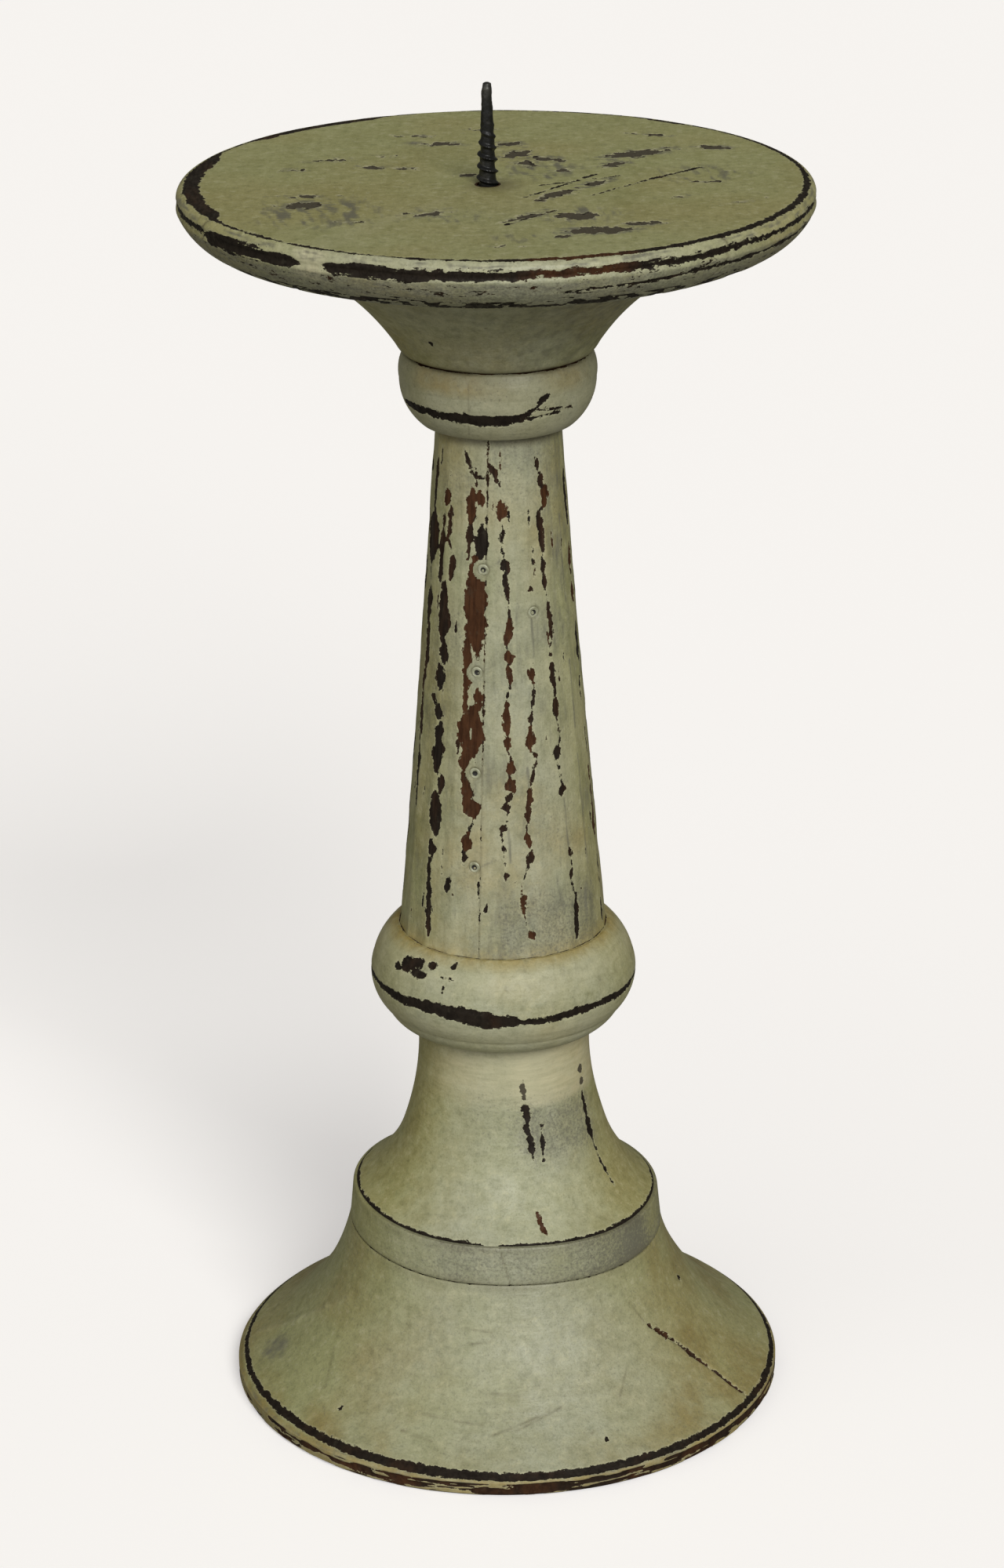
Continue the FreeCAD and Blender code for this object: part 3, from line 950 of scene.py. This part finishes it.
def wear_pan(skin):
    """The pan: scuffed and scratched on top, and worn down to the wood round its rim."""
    side = skin.between(PAN_BOTTOM - 1, PAN_TOP - 0.25, 0.2)
    top = (skin.z > PAN_TOP - 0.2) & (skin.radius < PAN_FLAT_R)
    # Almost no painted front light on the pan's top, which the light only grazes
    skin.painted_front_light = skin.painted_front_light * np.where(top, 0.1, 1)
    torn = 1.1 * skin.ragged + 1.2 * value_noise(skin.points, 1.2, 71)
    scratched = rough_noise(plane(skin.x * 0.25, skin.y * 1.2), 1.0, 73, 2)
    for x, y, half_length, half_width, turn, gone in PAN_SCUFFS:
        c, s = math.cos(math.radians(turn)), math.sin(math.radians(turn))
        u = ((skin.x - x) * c + (skin.y - y) * s) / half_length
        v = ((skin.y - y) * c - (skin.x - x) * s) / half_width
        reach = np.hypot(u, v)
        size = min(half_length, half_width)
        inside = size * (0.95 * gone + 0.05 - 0.8 * reach) + torn - 0.45
        skin.scrape(inside, 0.0, top)
        halo = unit(2.5 - 1.2 * reach) * gone * np.clip(0.5 + 0.8 * scratched, 0, 0.9)
        skin.more(pale=0.8 * (top & (inside > -0.2)), rub=top * halo)
    for x_1, y_1, x_2, y_2, width in PAN_SCRATCHES:
        distance = from_segment(skin.x - x_1, skin.y - y_1, x_2 - x_1, y_2 - y_1)[0]
        inside = width / 2 * (1 + 0.9 * skin.ragged) - distance
        skin.scrape(inside, 0.1, top)
    brushed = plane(skin.x * 0.9 + skin.y * 0.2, skin.y * 0.16)
    strokes = rough_noise(brushed, 1.2, 31, 2)
    for x, y, half_length, half_width, strength in PAN_HATCHING:
        reach = np.hypot((skin.x - x) / half_length, (skin.y - y) / half_width)
        marks = unit(0.3 + 1.5 * strokes) * (0.3 + strength)
        amount = unit(1.9 - 1.6 * reach) * marks
        skin.more(rub=top * amount)
    stain = unit(1.2 - np.hypot(skin.x + 0.5, skin.y + 5) / 8.5)
    skin.dirt(top * 0.7 * stain * (0.8 + 0.4 * skin.slow))
    for start, end, inward in PAN_RIM_WEAR:
        span = skin.facing(start, end, 8)
        inside = inward * span - (PAN_FLAT_R - skin.radius) + 0.7 * skin.ragged - 0.6
        skin.scrape(inside, 0.2, top & (span > 0.1))

    # the dark corner inside the bead, whole on the right and broken on the left
    broken = np.where(skin.azimuth < -8, 0.5, 0.1) * rough_noise(skin.points, 5.0, 23)
    corner = np.hypot(skin.radius - 84.1, (skin.z - 361.9) * 0.8)
    reddish = skin.facing(6, 24, 6)
    heavy = np.interp(skin.azimuth, (-180, -40, -8, 0, 60, 180), (0.3, 0.6, 0.5, 0.9, 1.1, 0.3))
    skin.scrape(heavy + broken - corner, 0.9 * reddish)
    fibres = 0.8 * rough_noise(plane(skin.azimuth * 0.3, skin.z * 1.7), 1.0, 41)
    for start, end, width in PAN_LINE_WEAR:
        span = skin.facing(start, end, 4)
        inside = width / 2 - np.abs(skin.z - (359.5 - 0.4 * width)) - (1 - span) * 3
        inside += fibres * min(1.0, 0.2 + width / 5)
        skin.scrape(inside, 0.6 * reddish, skin.radius > PAN_FLAT_R + 0.1)
    third = np.interp(skin.azimuth, (4, 12, 36, 80, 95), (-1, 0.25, 0.6, 0.5, -1))
    level = np.interp(skin.azimuth, (8, 40, 70), (353.0, 354.8, 355.3)) + 0.3 * skin.slow
    inside = third - np.abs(skin.z - level) + 0.4 * fibres
    skin.scrape(inside, 0.1, side > 0.5)
    below = skin.between(350, 357, 2.0) * side
    skin.more(rub=below * np.clip(0.4 + 0.75 * fibres, 0, 0.95))
    skin.stain = 0.5 * below * unit(0.5 + skin.slow)
    skin.scrape(0.6 * fibres - 0.48, 0.2, below > 0.4)
    skin.more(speckle=0.6 * skin.between(346, 357, 3) * side)
    bead = skin.between(358.8, 361.7, 0.8)
    skin.more(pale=0.15 * bead, rub=bead * np.clip(0.35 + 0.6 * fibres, 0, 0.9))
    yellow = skin.facing(-37, -30, 3) * skin.between(354, 361.7, 1)
    skin.more(pale=0.8 * yellow)
    flecks = rough_noise(plane(skin.azimuth * 0.5, skin.z), 1.2, 29)
    under = (skin.z < 350.2) & (skin.radius > 69)
    inside = 0.3 - 0.3 * np.abs(skin.radius - 79.5) + 1.5 * flecks
    skin.scrape(inside, 0.1, under)
    skin.more(rub=under * np.clip(0.3 + 0.6 * flecks, 0, 0.9))
    turn = np.radians(PAN_GLUE_TURN)
    from_glue = skin.x * math.sin(turn) - skin.y * math.cos(turn) - PAN_GLUE_OFFSET
    skin.groove(np.where(top, 9, from_glue), 0.25, 0.6)


def wear_cove(skin):
    """The capital's cove: sound paint, dirty and with painted shade under the pan, and dirty in the
    groove below.
    """
    # Painted shade and dirt at the joint under the pan, and at the one below
    joint_dirt_and_shade(skin, 0.2, COVE_BOTTOM, PAN_BOTTOM)
    dirty_groove(skin, 1.6)
    skin.patch(-33, 324.4, 0.75, 0.75, 0.0, 0.1)
    skin.more(rub=0.25 + 0.15 * skin.facing(0, 70, 30))
    skin.stain = unit(0.1 + 0.3 * skin.slow)


def wear_capital_ring(skin):
    """The capital's ring: a worn black line on its fullest part, and a cracked glue line."""
    joint_dirt_and_shade(skin, 0.3, RING_BOTTOM, COVE_BOTTOM)
    torn = rough_noise(plane(skin.azimuth * 0.35, skin.z * 1.6), 1.1, 59, 2)
    with skin.torn(0.4, torn):
        skin.band(CAPITAL_BAND, ragged=0.3)
    skin.streak((22, 304.6), (50, 303.4), 0.5, 0.1)
    skin.streak((6, 301.6), (44, 303.2), 0.5, 0.0)
    skin.streak((23, 306.4), (30, 308.4), 1.1, 0.0)
    skin.band([(a, 302 + 0.7 * math.sin(a / 9), 0.7) for a in (-180, -150, -120, -90)])
    skin.band([(a, 302, 0.5 + 0.9 * math.sin(a)) for a in range(75, 181, 15)])
    dirty = dirty_groove(skin, 1.4)
    groove_line = 0.1 - np.abs(skin.z - COVE_BOTTOM) + 0.5 * skin.ragged
    skin.scrape(groove_line + 0.4 * unit(dirty) - 0.6, 0.7)
    # Painted light: paler paint all round the capital ring, where the pan's shadow falls
    skin.painted_front_light = unit(skin.painted_front_light + 0.6)
    skin.more(pale=0.35)
    skin.stain = skin.between(309, 316, 3) * unit(0.5 * dirty + 0.5 * skin.slow)
    skin.groove(skin.x - RING_GLUE_X, 0.09, 0.45, 0.35)
    skin.more(speckle=0.3)


def wear_column(skin):
    """The column: paint gone along the facet edges, and a wide strip left of the glue line."""
    for edge, stretches in EDGE_WEAR.items():
        azimuth = FACET_EDGE + edge * 360 / FACETS
        previous = None
        for off, top, bottom, width, *red in stretches:
            lean = 1.2 * math.sin(top * 1.7 + edge)
            streak = (azimuth + off - lean, top), (azimuth + off + lean, bottom)
            if previous and 0 < previous[1] - top < 14:
                skin.streak(previous, streak[0], 0.35, 0.2, 1.3)
            previous = streak[1]
            red = red[0] if red else WORN_RED
            skin.streak(*streak, width + 0.15, red, 0.5 if width < 3 else 0.3)
    for azimuth_1, top, azimuth_2, bottom, width in COLUMN_SLANTS:
        skin.streak((azimuth_1, top), (azimuth_2, bottom), width, 0.2)
    chance = np.random.default_rng(8)
    for edge in BACK_EDGES:
        azimuth = FACET_EDGE + edge * 360 / FACETS
        level = 288 - chance.uniform(0, 20)
        while level > 150:
            length = chance.uniform(3, 16)
            off = chance.uniform(-2.5, 2.5)
            width = chance.uniform(0.6, 2.1)
            red = chance.choice((0.0, 0.1, 0.8))
            end = (azimuth + off + chance.uniform(-1, 1), max(level - length, 147))
            skin.streak((azimuth + off, level), end, width, red)
            level -= length + chance.uniform(1, 11)
    for _ in range(60):
        azimuth, top = chance.uniform(-85, 85), chance.uniform(150, 292)
        end = azimuth + chance.uniform(-1, 1), top - chance.uniform(0.6, 6)
        skin.streak((azimuth, top), end, chance.uniform(0.05, 0.45), chance.uniform(0, 0.6))
    for azimuth, top, bottom, width in COLUMN_RUBS:
        skin.rub_line((azimuth, top), (azimuth + 1, bottom), width)
    for azimuth, height, width, length in COLUMN_ISLANDS:
        reach = 2 * np.hypot(skin.past(azimuth) / width, (skin.z - height) / length)
        skin.bare = np.where(reach < 1.3, np.minimum(skin.bare, reach - 1.1), skin.bare)

    from_glue = skin.x - column_glue_x(skin.z)
    front = skin.y < 0
    seam = np.where(front, from_glue, 9)
    skin.groove(seam, 0.2, 0.5, 0.6)
    skin.groove(np.where(front, 9, from_glue), 0.12, 0.4, 0.5)
    left = unit(1 + from_glue / 1.5) * (from_glue < 0) * front
    skin.lift -= 0.15 * left
    crack = 0.22 - np.abs(seam) + 0.25 * skin.ragged
    skin.scrape(np.where(skin.z > 205, crack, crack - 0.35), 0.35)
    for azimuth, height in BRADS:
        reach = np.hypot(skin.past(azimuth), skin.z - height)
        collar = bell(reach - BRAD_COLLAR_R, 0.5)
        skin.bare = np.where(reach < BRAD_COLLAR_R + 0.7, -1.0, skin.bare)
        skin.lift += 0.07 * collar
        skin.lift -= BRAD_DEPTH * unit((BRAD_R + 0.25 - reach) / 0.4)
        skin.more(grime=0.5 * bell(reach - BRAD_R, 0.3))
        tail = skin.from_line(azimuth + 4, height + 0.5, azimuth + 13, height + 2.5)[0]
        skin.more(rub=0.5 * bell(tail, 0.5))
    clouds = unit(0.4 + 0.6 * rough_noise(skin.points * (1, 1, 0.6), 8.0, 37))
    skin.more(rub=np.maximum(0.6 * skin.facing(8, 75, 10), 0.45) * clouds)
    skin.more(pale=0.35 * unit(0.9 - 1.5 * clouds))
    skin.lift += 0.12 * rough_noise(skin.points * (1, 1, 0.5), 3.5, 95, 2)
    skin.more(speckle=0.25 + 0.25 * unit(skin.slow))
    low = skin.between(140, 166, 16) * skin.facing(-5, 70, 12)
    skin.more(speckle=0.6 * low)
    joint_dirt_and_shade(skin, 0.2, COLUMN_TOP)
    fillet = unit(1 - (skin.z - RING_TOP) / 2.0)
    skin.lift += 0.35 * fillet * fillet
    skin.stain = 0.8 * unit(1 - (skin.z - RING_TOP) / 5.0)
    skin.more(stain=np.clip(0.55 * rough_noise(skin.points, 16.0, 93), 0, 0.7))
    # Darker over the column's top 3.5 mm, under the capital ring
    skin.dirt(0.5 * unit(1 - (COLUMN_TOP - 1.5 - skin.z) / 2.0))


def wear_lower_ring(skin):
    """The lower ring: a broad worn band on its fullest part, and chips on its shoulder."""
    joint_dirt_and_shade(skin, 0.2, RING_SOLE)
    torn = 0.5 * rough_noise(plane(skin.azimuth * 0.9, skin.z * 0.4), 1.6, 57, 2)
    with skin.torn(0.6, torn):
        skin.band(LOWER_BAND, ragged=0.4)
    for azimuth, height, half_width, half_height in LOWER_PATCHES:
        skin.patch(azimuth, height, half_width, half_height, 0.1)
    upper = skin.between(136, 144, 5)
    lower = skin.between(118, 127, 5)
    patchy = unit(0.6 + 0.5 * skin.slow)
    skin.more(pale=(0.45 * upper + 0.6 * lower) * patchy, rub=0.15)
    near = unit(1 - np.abs(skin.z - RING_TOP) / 3.0)
    skin.stain = 0.9 * near + 0.35 * unit(skin.slow)
    # Painted front light, raised all round the lower ring
    skin.painted_front_light = unit(skin.painted_front_light + 0.45)


def wear_pedestal(skin):
    """The pedestal: cracks down the grain, a repainted neck, and a worn sharp lip."""
    joint_dirt_and_shade(skin, 0.2, RING_SOLE)
    torn = 1.1 * rough_noise(skin.points * (0.3, 0.3, 1), 1.5, 61, 2)
    with skin.torn(0.3, torn):
        for azimuth_1, top, azimuth_2, bottom, width, red in PEDESTAL_CRACKS:
            skin.streak((azimuth_1, top), (azimuth_2, bottom), 1.3 * width, red, 0.7)
    lip = np.hypot(skin.radius - LIP_R, skin.z - LIP_LEVEL)
    gap = skin.facing(-9, -3, 2)
    width = np.interp(skin.azimuth, (-180, -70, -20, 0, 40, 180), (0.5, 1.1, 1.1, 0.8, 1.1, 0.5))
    broken = np.where(skin.azimuth < -4, 0.4, 0.15) * skin.ragged
    skin.scrape(width + broken - lip - 1.2 * gap, 0.0)
    neck = skin.facing(-50, 80, 40) * skin.between(98, 113, 7)
    right = skin.facing(10, 90, 18) * skin.between(95.5, 113, 1.5)
    skin.more(pale=unit(0.7 * neck + 0.6 * right))
    # Painted front light, raised a little all round the pedestal
    skin.painted_front_light = unit(skin.painted_front_light + 0.15)
    # Painted shade: a yellow-brown darkening towards the sides, away from the front
    skin.stain = 0.3 * unit(np.abs(skin.azimuth - 5) / 40 - 0.4)
    below = skin.facing(8, 70, 16) * skin.between(78, 97, 9)
    middle = skin.facing(-30, 12, 26) * skin.between(84, 102, 9)
    skin.more(speckle=0.6 * below + 0.35 * middle, rub=0.25 * below)


def wear_band(skin):
    """The short band: peppered grey, most of all on the right."""
    joint_dirt_and_shade(skin, 0.3, BAND_LEVEL, LIP_LEVEL)
    amount = np.interp(skin.azimuth, (-180, -80, -40, 20, 50, 75, 180), (4, 1, 5, 6, 11, 9, 4))
    patchy = np.clip(0.75 + 0.35 * skin.slow, 0, 1.2)
    skin.more(speckle=1.1 * amount / 10 * patchy)
    skin.scrape(0.3 * skin.ragged - 0.4 - np.abs(skin.z - BAND_LEVEL))
    front = np.where(skin.y < 0, skin.x + 0.4 - (55 - skin.z) * 0.25, skin.x)
    skin.groove(front, 0.2, 0.45)


def wear_foot(skin):
    """The foot: stained paint, with painted shade towards its sides, a worn rim, and an open glue line
    on the right.
    """
    joint_dirt_and_shade(skin, 0.25, BAND_LEVEL)
    skin.scrape(0.3 * skin.ragged - 0.4 - np.abs(skin.z - BAND_LEVEL))
    fibres = rough_noise(plane(skin.azimuth * 0.22, skin.z * 1.9), 1.0, 43)
    level = np.interp(skin.azimuth, (-180, -53, 0, 68, 180), (6.0, 6.6, 5.7, 5.5, 6.0))
    width = np.interp(skin.azimuth, (-180, -75, -20, 15, 50, 180), (0.6, 1.0, 1.8, 1.6, 1.3, 0.8))
    skin.scrape(2 * (width / 2 - np.abs(skin.z - level)) + 0.2 * fibres, 0.15)
    worn = np.interp(skin.azimuth, (-180, -70, -40, 0, 60, 100, 180), (-1, -0.7, 0.1, 0.8, 0.6, 0, -1))
    inside = 0.4 + worn + 2.2 * fibres - 0.3 * np.abs(skin.z - 2.6)
    skin.scrape(inside, 0.45, skin.z < 4.4)
    skin.more(pale=0.3 * skin.between(0, 4.8, 0.5))
    rim = skin.between(-1, 5.6, 0.8)
    skin.stain = rim
    skin.more(rub=rim * np.clip(0.3 + 0.4 * fibres, 0, 0.8))
    skin.scrape(1.0, 0.5, skin.z < 0.3)
    skin.dirt(0.45 * skin.between(-1, 3.4, 0.8) * unit(0.6 + 0.6 * skin.slow))
    for start, end in zip(FOOT_CRACK, FOOT_CRACK[1:]):
        thick = 1.1 if start[1] > 20 else 0.6
        skin.streak(start, end, thick, 0.5, 0.3)
        distance = skin.from_line(*start, *end)[0]
        skin.lift -= 0.4 * unit(1 - distance / 0.7)
    for start, end in zip(FOOT_RIDGE, FOOT_RIDGE[1:]):
        distance = skin.from_line(*start, *end)[0]
        skin.lift += 0.22 * bell(distance, 1.6)
        skin.more(pale=0.2 * bell(distance, 1.2))
    smudge = np.hypot(skin.past(-79) / 8, (skin.z - 12) / 4)
    skin.more(rub=0.75 * unit(1.3 - smudge))
    skin.patch(78, 32.7, 0.9, 1.4)
    skin.patch(23, 10.3, 0.6, 0.5)
    skin.patch(-44, 12, 0.5, 0.5)
    for start, end, strength in FOOT_SCRATCHES:
        distance = skin.from_line(*start, *end)[0]
        faint = unit(0.7 + 0.9 * skin.ragged)
        skin.dirt(strength * faint * bell(distance, 0.3))
    # Stain in blotches, heavier towards the bottom, and painted shade: stain and dirt grow towards the
    # sides, away from the front
    blotches = rough_noise(skin.points, 18.0, 83)
    lower = unit((30 - skin.z) / 26)
    sides = unit(np.abs(skin.azimuth) / 60 - 0.2)
    amount = unit(0.7 * blotches + 0.35) * unit(0.5 * lower + 0.9 * sides)
    skin.more(stain=amount)
    skin.dirt(0.25 * unit(blotches) * sides)
    skin.more(speckle=0.3)


def column_glue_x(height):
    """Where the column's slanting glue plane is at that height."""
    return COLUMN_GLUE_X + (height - RING_TOP) * math.tan(math.radians(COLUMN_GLUE_SLANT))


def level_of(node, end):
    """A CAD node's lowest (0) or highest (1) level."""
    return round(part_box(node)[end].z / MM, 2)


BAND_LEVEL = level_of("band_left", 0)
LIP_LEVEL = level_of("pedestal", 0)
RING_SOLE = level_of("lower_ring", 0)
RING_TOP = level_of("lower_ring", 1)
RING_BOTTOM = level_of("capital_ring_left", 0)
COVE_BOTTOM = level_of("capital_cove", 0)
PAN_BOTTOM = level_of("pan_back_board", 0)
PAN_TOP = level_of("pan_back_board", 1)
COLUMN_TOP = level_of("column_left_board", 1)
SPIKE_TOP = level_of("pricket_screw", 1)
LIP_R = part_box("pedestal")[1].x / MM


def spike_reach(turn, height):
    """The spike's radius: a core that tapers to the tip, and a thread that runs out."""
    up = (height - PAN_TOP) / (SPIKE_TOP - PAN_TOP)
    core = SPIKE_R - SPIKE_TAPER * max(up, 0) - TIP_TAPER * max(up - TIP_START, 0)
    phase = (height / THREAD_PITCH + turn / (2 * np.pi)) % 1
    tooth = unit(1 - np.abs(phase - 0.5) / THREAD_HALF_WIDTH)
    return core + THREAD_DEPTH * unit((THREAD_END - up) / THREAD_RUN_OUT) * tooth


def build_screw(material):
    """The pricket: a wood screw through the pan, with a worn thread and a blunt point."""
    root = [(0, PAN_BOTTOM), (SCREW_HEAD_R, PAN_BOTTOM)]
    root += [(SCREW_R - 0.05, PAN_BOTTOM + SCREW_HEAD_DEPTH), (SCREW_R - 0.05, PAN_TOP - 0.5)]
    path = [root[0]] + [p for a, b in zip(root, root[1:]) for p in across(a, b, 1.0)]
    path += [(SPIKE_R, level) for level in np.arange(PAN_TOP - 0.4, SPIKE_TOP - 0.3, SPIKE_ROW)]
    path += [(0.6, SPIKE_TOP - 0.1), (0, SPIKE_TOP)]
    rings = []
    for radius, height in path:
        turn = turns(1 if radius == 0 else SCREW_AROUND)
        reach = np.full(len(turn), float(radius))
        if radius == SPIKE_R:
            reach = spike_reach(turn, height)
        rings.append(ring_points(turn, reach, height))
    points, faces = stack(rings)
    above = unit((points[:, 2] - PAN_TOP) / 1.5)
    radius = np.hypot(points[:, 0], points[:, 1])
    out = points[:, :2] / np.maximum(radius, 0.01)[:, None]
    rust = rough_noise(points, 2.2, 91) * 0.13 * above * (radius > 0.3)
    points[:, :2] += out * rust[:, None] + SCREW_PLACE
    mesh = bpy.data.meshes.new("pricket_screw")
    mesh.from_pydata((points * MM).tolist(), [], faces)
    # Painted sheen: lighter towards the tip
    bright = unit((points[:, 2] - SPIKE_TOP + 7) / 7) * unit(0.5 + rust * 4)
    finish_mesh(mesh, {"pale": bright}, METAL_CORNER)
    place_piece("pricket_screw_iron", mesh, material, "pricket_screw")


def build_brads(material, rows):
    """The brads: shanks in the wood, and dished heads with paint over all but the middle."""
    points, faces, bare = [], [], []
    for azimuth, height in BRADS:
        turn = math.radians(azimuth)
        out = np.array([math.sin(turn), -math.cos(turn), 0])
        side = np.array([math.cos(turn), math.sin(turn), 0])
        surface = float(np.interp(height, rows[:, 1], rows[:, 0])) - BRAD_DEPTH + 0.1
        rings = []
        for radius, depth in BRAD_OUTLINE:
            spin = turns(1 if radius == 0 else BRAD_AROUND)
            circle = np.outer(np.cos(spin), side) + np.outer(np.sin(spin), [0, 0, 1])
            rings.append(out * (surface + depth) + (0, 0, height) + radius * circle)
            hidden = depth < -0.9
            bare += [1.0 if hidden or radius < 0.6 else -0.4] * len(spin)
        here, bridged = stack(rings)
        faces += [[number + len(points) for number in face] for face in bridged]
        points += (here * MM).tolist()
    mesh = bpy.data.meshes.new("column_brads")
    mesh.from_pydata(points, [], faces)
    finish_mesh(mesh, {"bare": bare}, METAL_CORNER)
    place_piece("column_brads_painted", mesh, material, "column_brads")


def build_pieces():
    """Every painted piece, from the foot up."""
    turned_paint = painted_wood("painted_turning", (2, 2, 3), (7, 7, 1), (1.6, 1.6, 1))
    upright_paint = painted_wood("painted_column", (1, 1, 7), (1, 1, 9), (1, 1, 1.5))
    pan_paint = painted_wood("painted_pan", (1.2, 5, 1.5), (1, 7, 1.5), (1.6, 1.2, 0.7))

    front, left = Vector((0, -1, 0)), Vector((-1, 0, 0))

    foot = "foot_front_board", "foot_back_board"
    shape = bored_shape(foot, None, (FOOT_BORE, FOOT_BORE_BOTTOM))
    make_pieces(foot, shape, wear_foot, turned_paint, (0, FOOT_GLUE_Y, 0), front)

    band = "band_left", "band_right"
    shape = ring_shape(band, FOOT_BORE)
    make_pieces(band, shape, wear_band, turned_paint, (0, 0, 0), left)

    pedestal = ("pedestal",)
    shape = bored_shape(pedestal, (FOOT_BORE, FOOT_BORE_TOP), (RING_BORE, RING_BORE_BOTTOM))
    make_pieces(pedestal, shape, wear_pedestal, turned_paint)

    lower_ring = ("lower_ring",)
    make_pieces(lower_ring, ring_shape(lower_ring, RING_BORE), wear_lower_ring, turned_paint)

    column = "column_left_board", "column_right_board"
    bores = (RING_BORE, RING_BORE_TOP), (CAPITAL_BORE, CAPITAL_BORE_BOTTOM)
    shape = bored_shape(column, *bores, facet_section)
    slant = math.radians(COLUMN_GLUE_SLANT)
    slanting = Vector((-math.cos(slant), 0, math.sin(slant)))
    glue = (COLUMN_GLUE_X, 0, RING_TOP)
    make_pieces(column, shape, wear_column, upright_paint, glue, slanting)

    ring = "capital_ring_left", "capital_ring_right"
    shape = ring_shape(ring, CAPITAL_BORE)
    make_pieces(ring, shape, wear_capital_ring, turned_paint, (RING_GLUE_X, 0, 0), left)

    cove = ("capital_cove",)
    shape = bored_shape(cove, (CAPITAL_BORE, CAPITAL_BORE_TOP), None)
    make_pieces(cove, shape, wear_cove, turned_paint)

    pan = "pan_front_board", "pan_back_board"
    shape = ring_shape(pan, SCREW_R, PAN_SOLE_ROW)
    shift_bore(shape[0])
    turn = math.radians(PAN_GLUE_TURN)
    turned = Vector((math.sin(turn), -math.cos(turn), 0))
    make_pieces(pan, shape, wear_pan, pan_paint, turned * PAN_GLUE_OFFSET, turned)

    build_screw(blackened_iron())
    build_brads(painted_brad(), cad_rows(*column))
    bare_wood = raw_wood()
    for node in ("pan_dowels", "capital_dowel", "ring_dowel", "foot_dowel"):
        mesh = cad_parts[node].data
        mesh.materials.clear()
        mesh.materials.append(bare_wood)


def build_floor():
    """A pale floor to the horizon, bright enough to join the background."""
    mesh = bpy.data.meshes.new("floor")
    half = 40.0
    corners = [(-half, -half, 0), (half, -half, 0), (half, half, 0), (-half, half, 0)]
    mesh.from_pydata(corners, [], [(0, 1, 2, 3)])
    floor = add_object("floor", mesh)
    s = Shader("floor_paper")
    grain = s.noise(900, 2)
    s.set(s.surface.inputs["Base Color"], s.mix(grain, FLOOR_BASE, FLOOR_BASE_PALE))
    s.surface.inputs["Roughness"].default_value = 1.0
    s.surface.inputs["Specular IOR Level"].default_value = 0.0
    s.surface.inputs["Emission Color"].default_value = (*FLOOR, 1)
    s.surface.inputs["Emission Strength"].default_value = FLOOR_GLOW
    mesh.materials.append(s.material)
    floor.visible_diffuse = False
    floor.visible_glossy = False


def build_light():
    """A soft light from the front and right, a wider one from the front, and an even fill."""
    world = bpy.data.worlds.new("studio")
    world.use_nodes = True
    background = world.node_tree.nodes["Background"]
    background.inputs["Color"].default_value = (*FILL_COLOUR, 1)
    background.inputs["Strength"].default_value = FILL
    bpy.context.scene.world = world
    for name, (azimuth, elevation, spread, strength) in LIGHTS.items():
        lamp = bpy.data.lights.new(name, "SUN")
        lamp.angle = math.radians(spread)
        lamp.energy = strength
        lamp.color = LAMP_COLOUR
        light = add_object(name, lamp)
        turn, rise = math.radians(azimuth), math.radians(elevation)
        level = math.cos(rise)
        way = Vector((math.sin(turn) * level, -math.cos(turn) * level, math.sin(rise)))
        light.rotation_euler = way.to_track_quat("Z", "Y").to_euler()


def build_camera():
    """The camera, looking down at the candlestick."""
    data = bpy.data.cameras.new("camera")
    data.lens = CAMERA_LENS
    data.sensor_width = SENSOR_LONG_SIDE
    data.clip_start = 0.05
    data.clip_end = 100
    camera = add_object("camera", data)
    camera.location = CAMERA_PLACE
    camera.rotation_euler = (math.radians(90 - CAMERA_PITCH), 0, 0)
    camera.rotation_euler.rotate_axis("Z", math.radians(CAMERA_ROLL))
    bpy.context.scene.camera = camera


bpy.context.scene.view_settings.view_transform = "Standard"
build_pieces()
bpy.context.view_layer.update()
build_floor()
build_light()
build_camera()
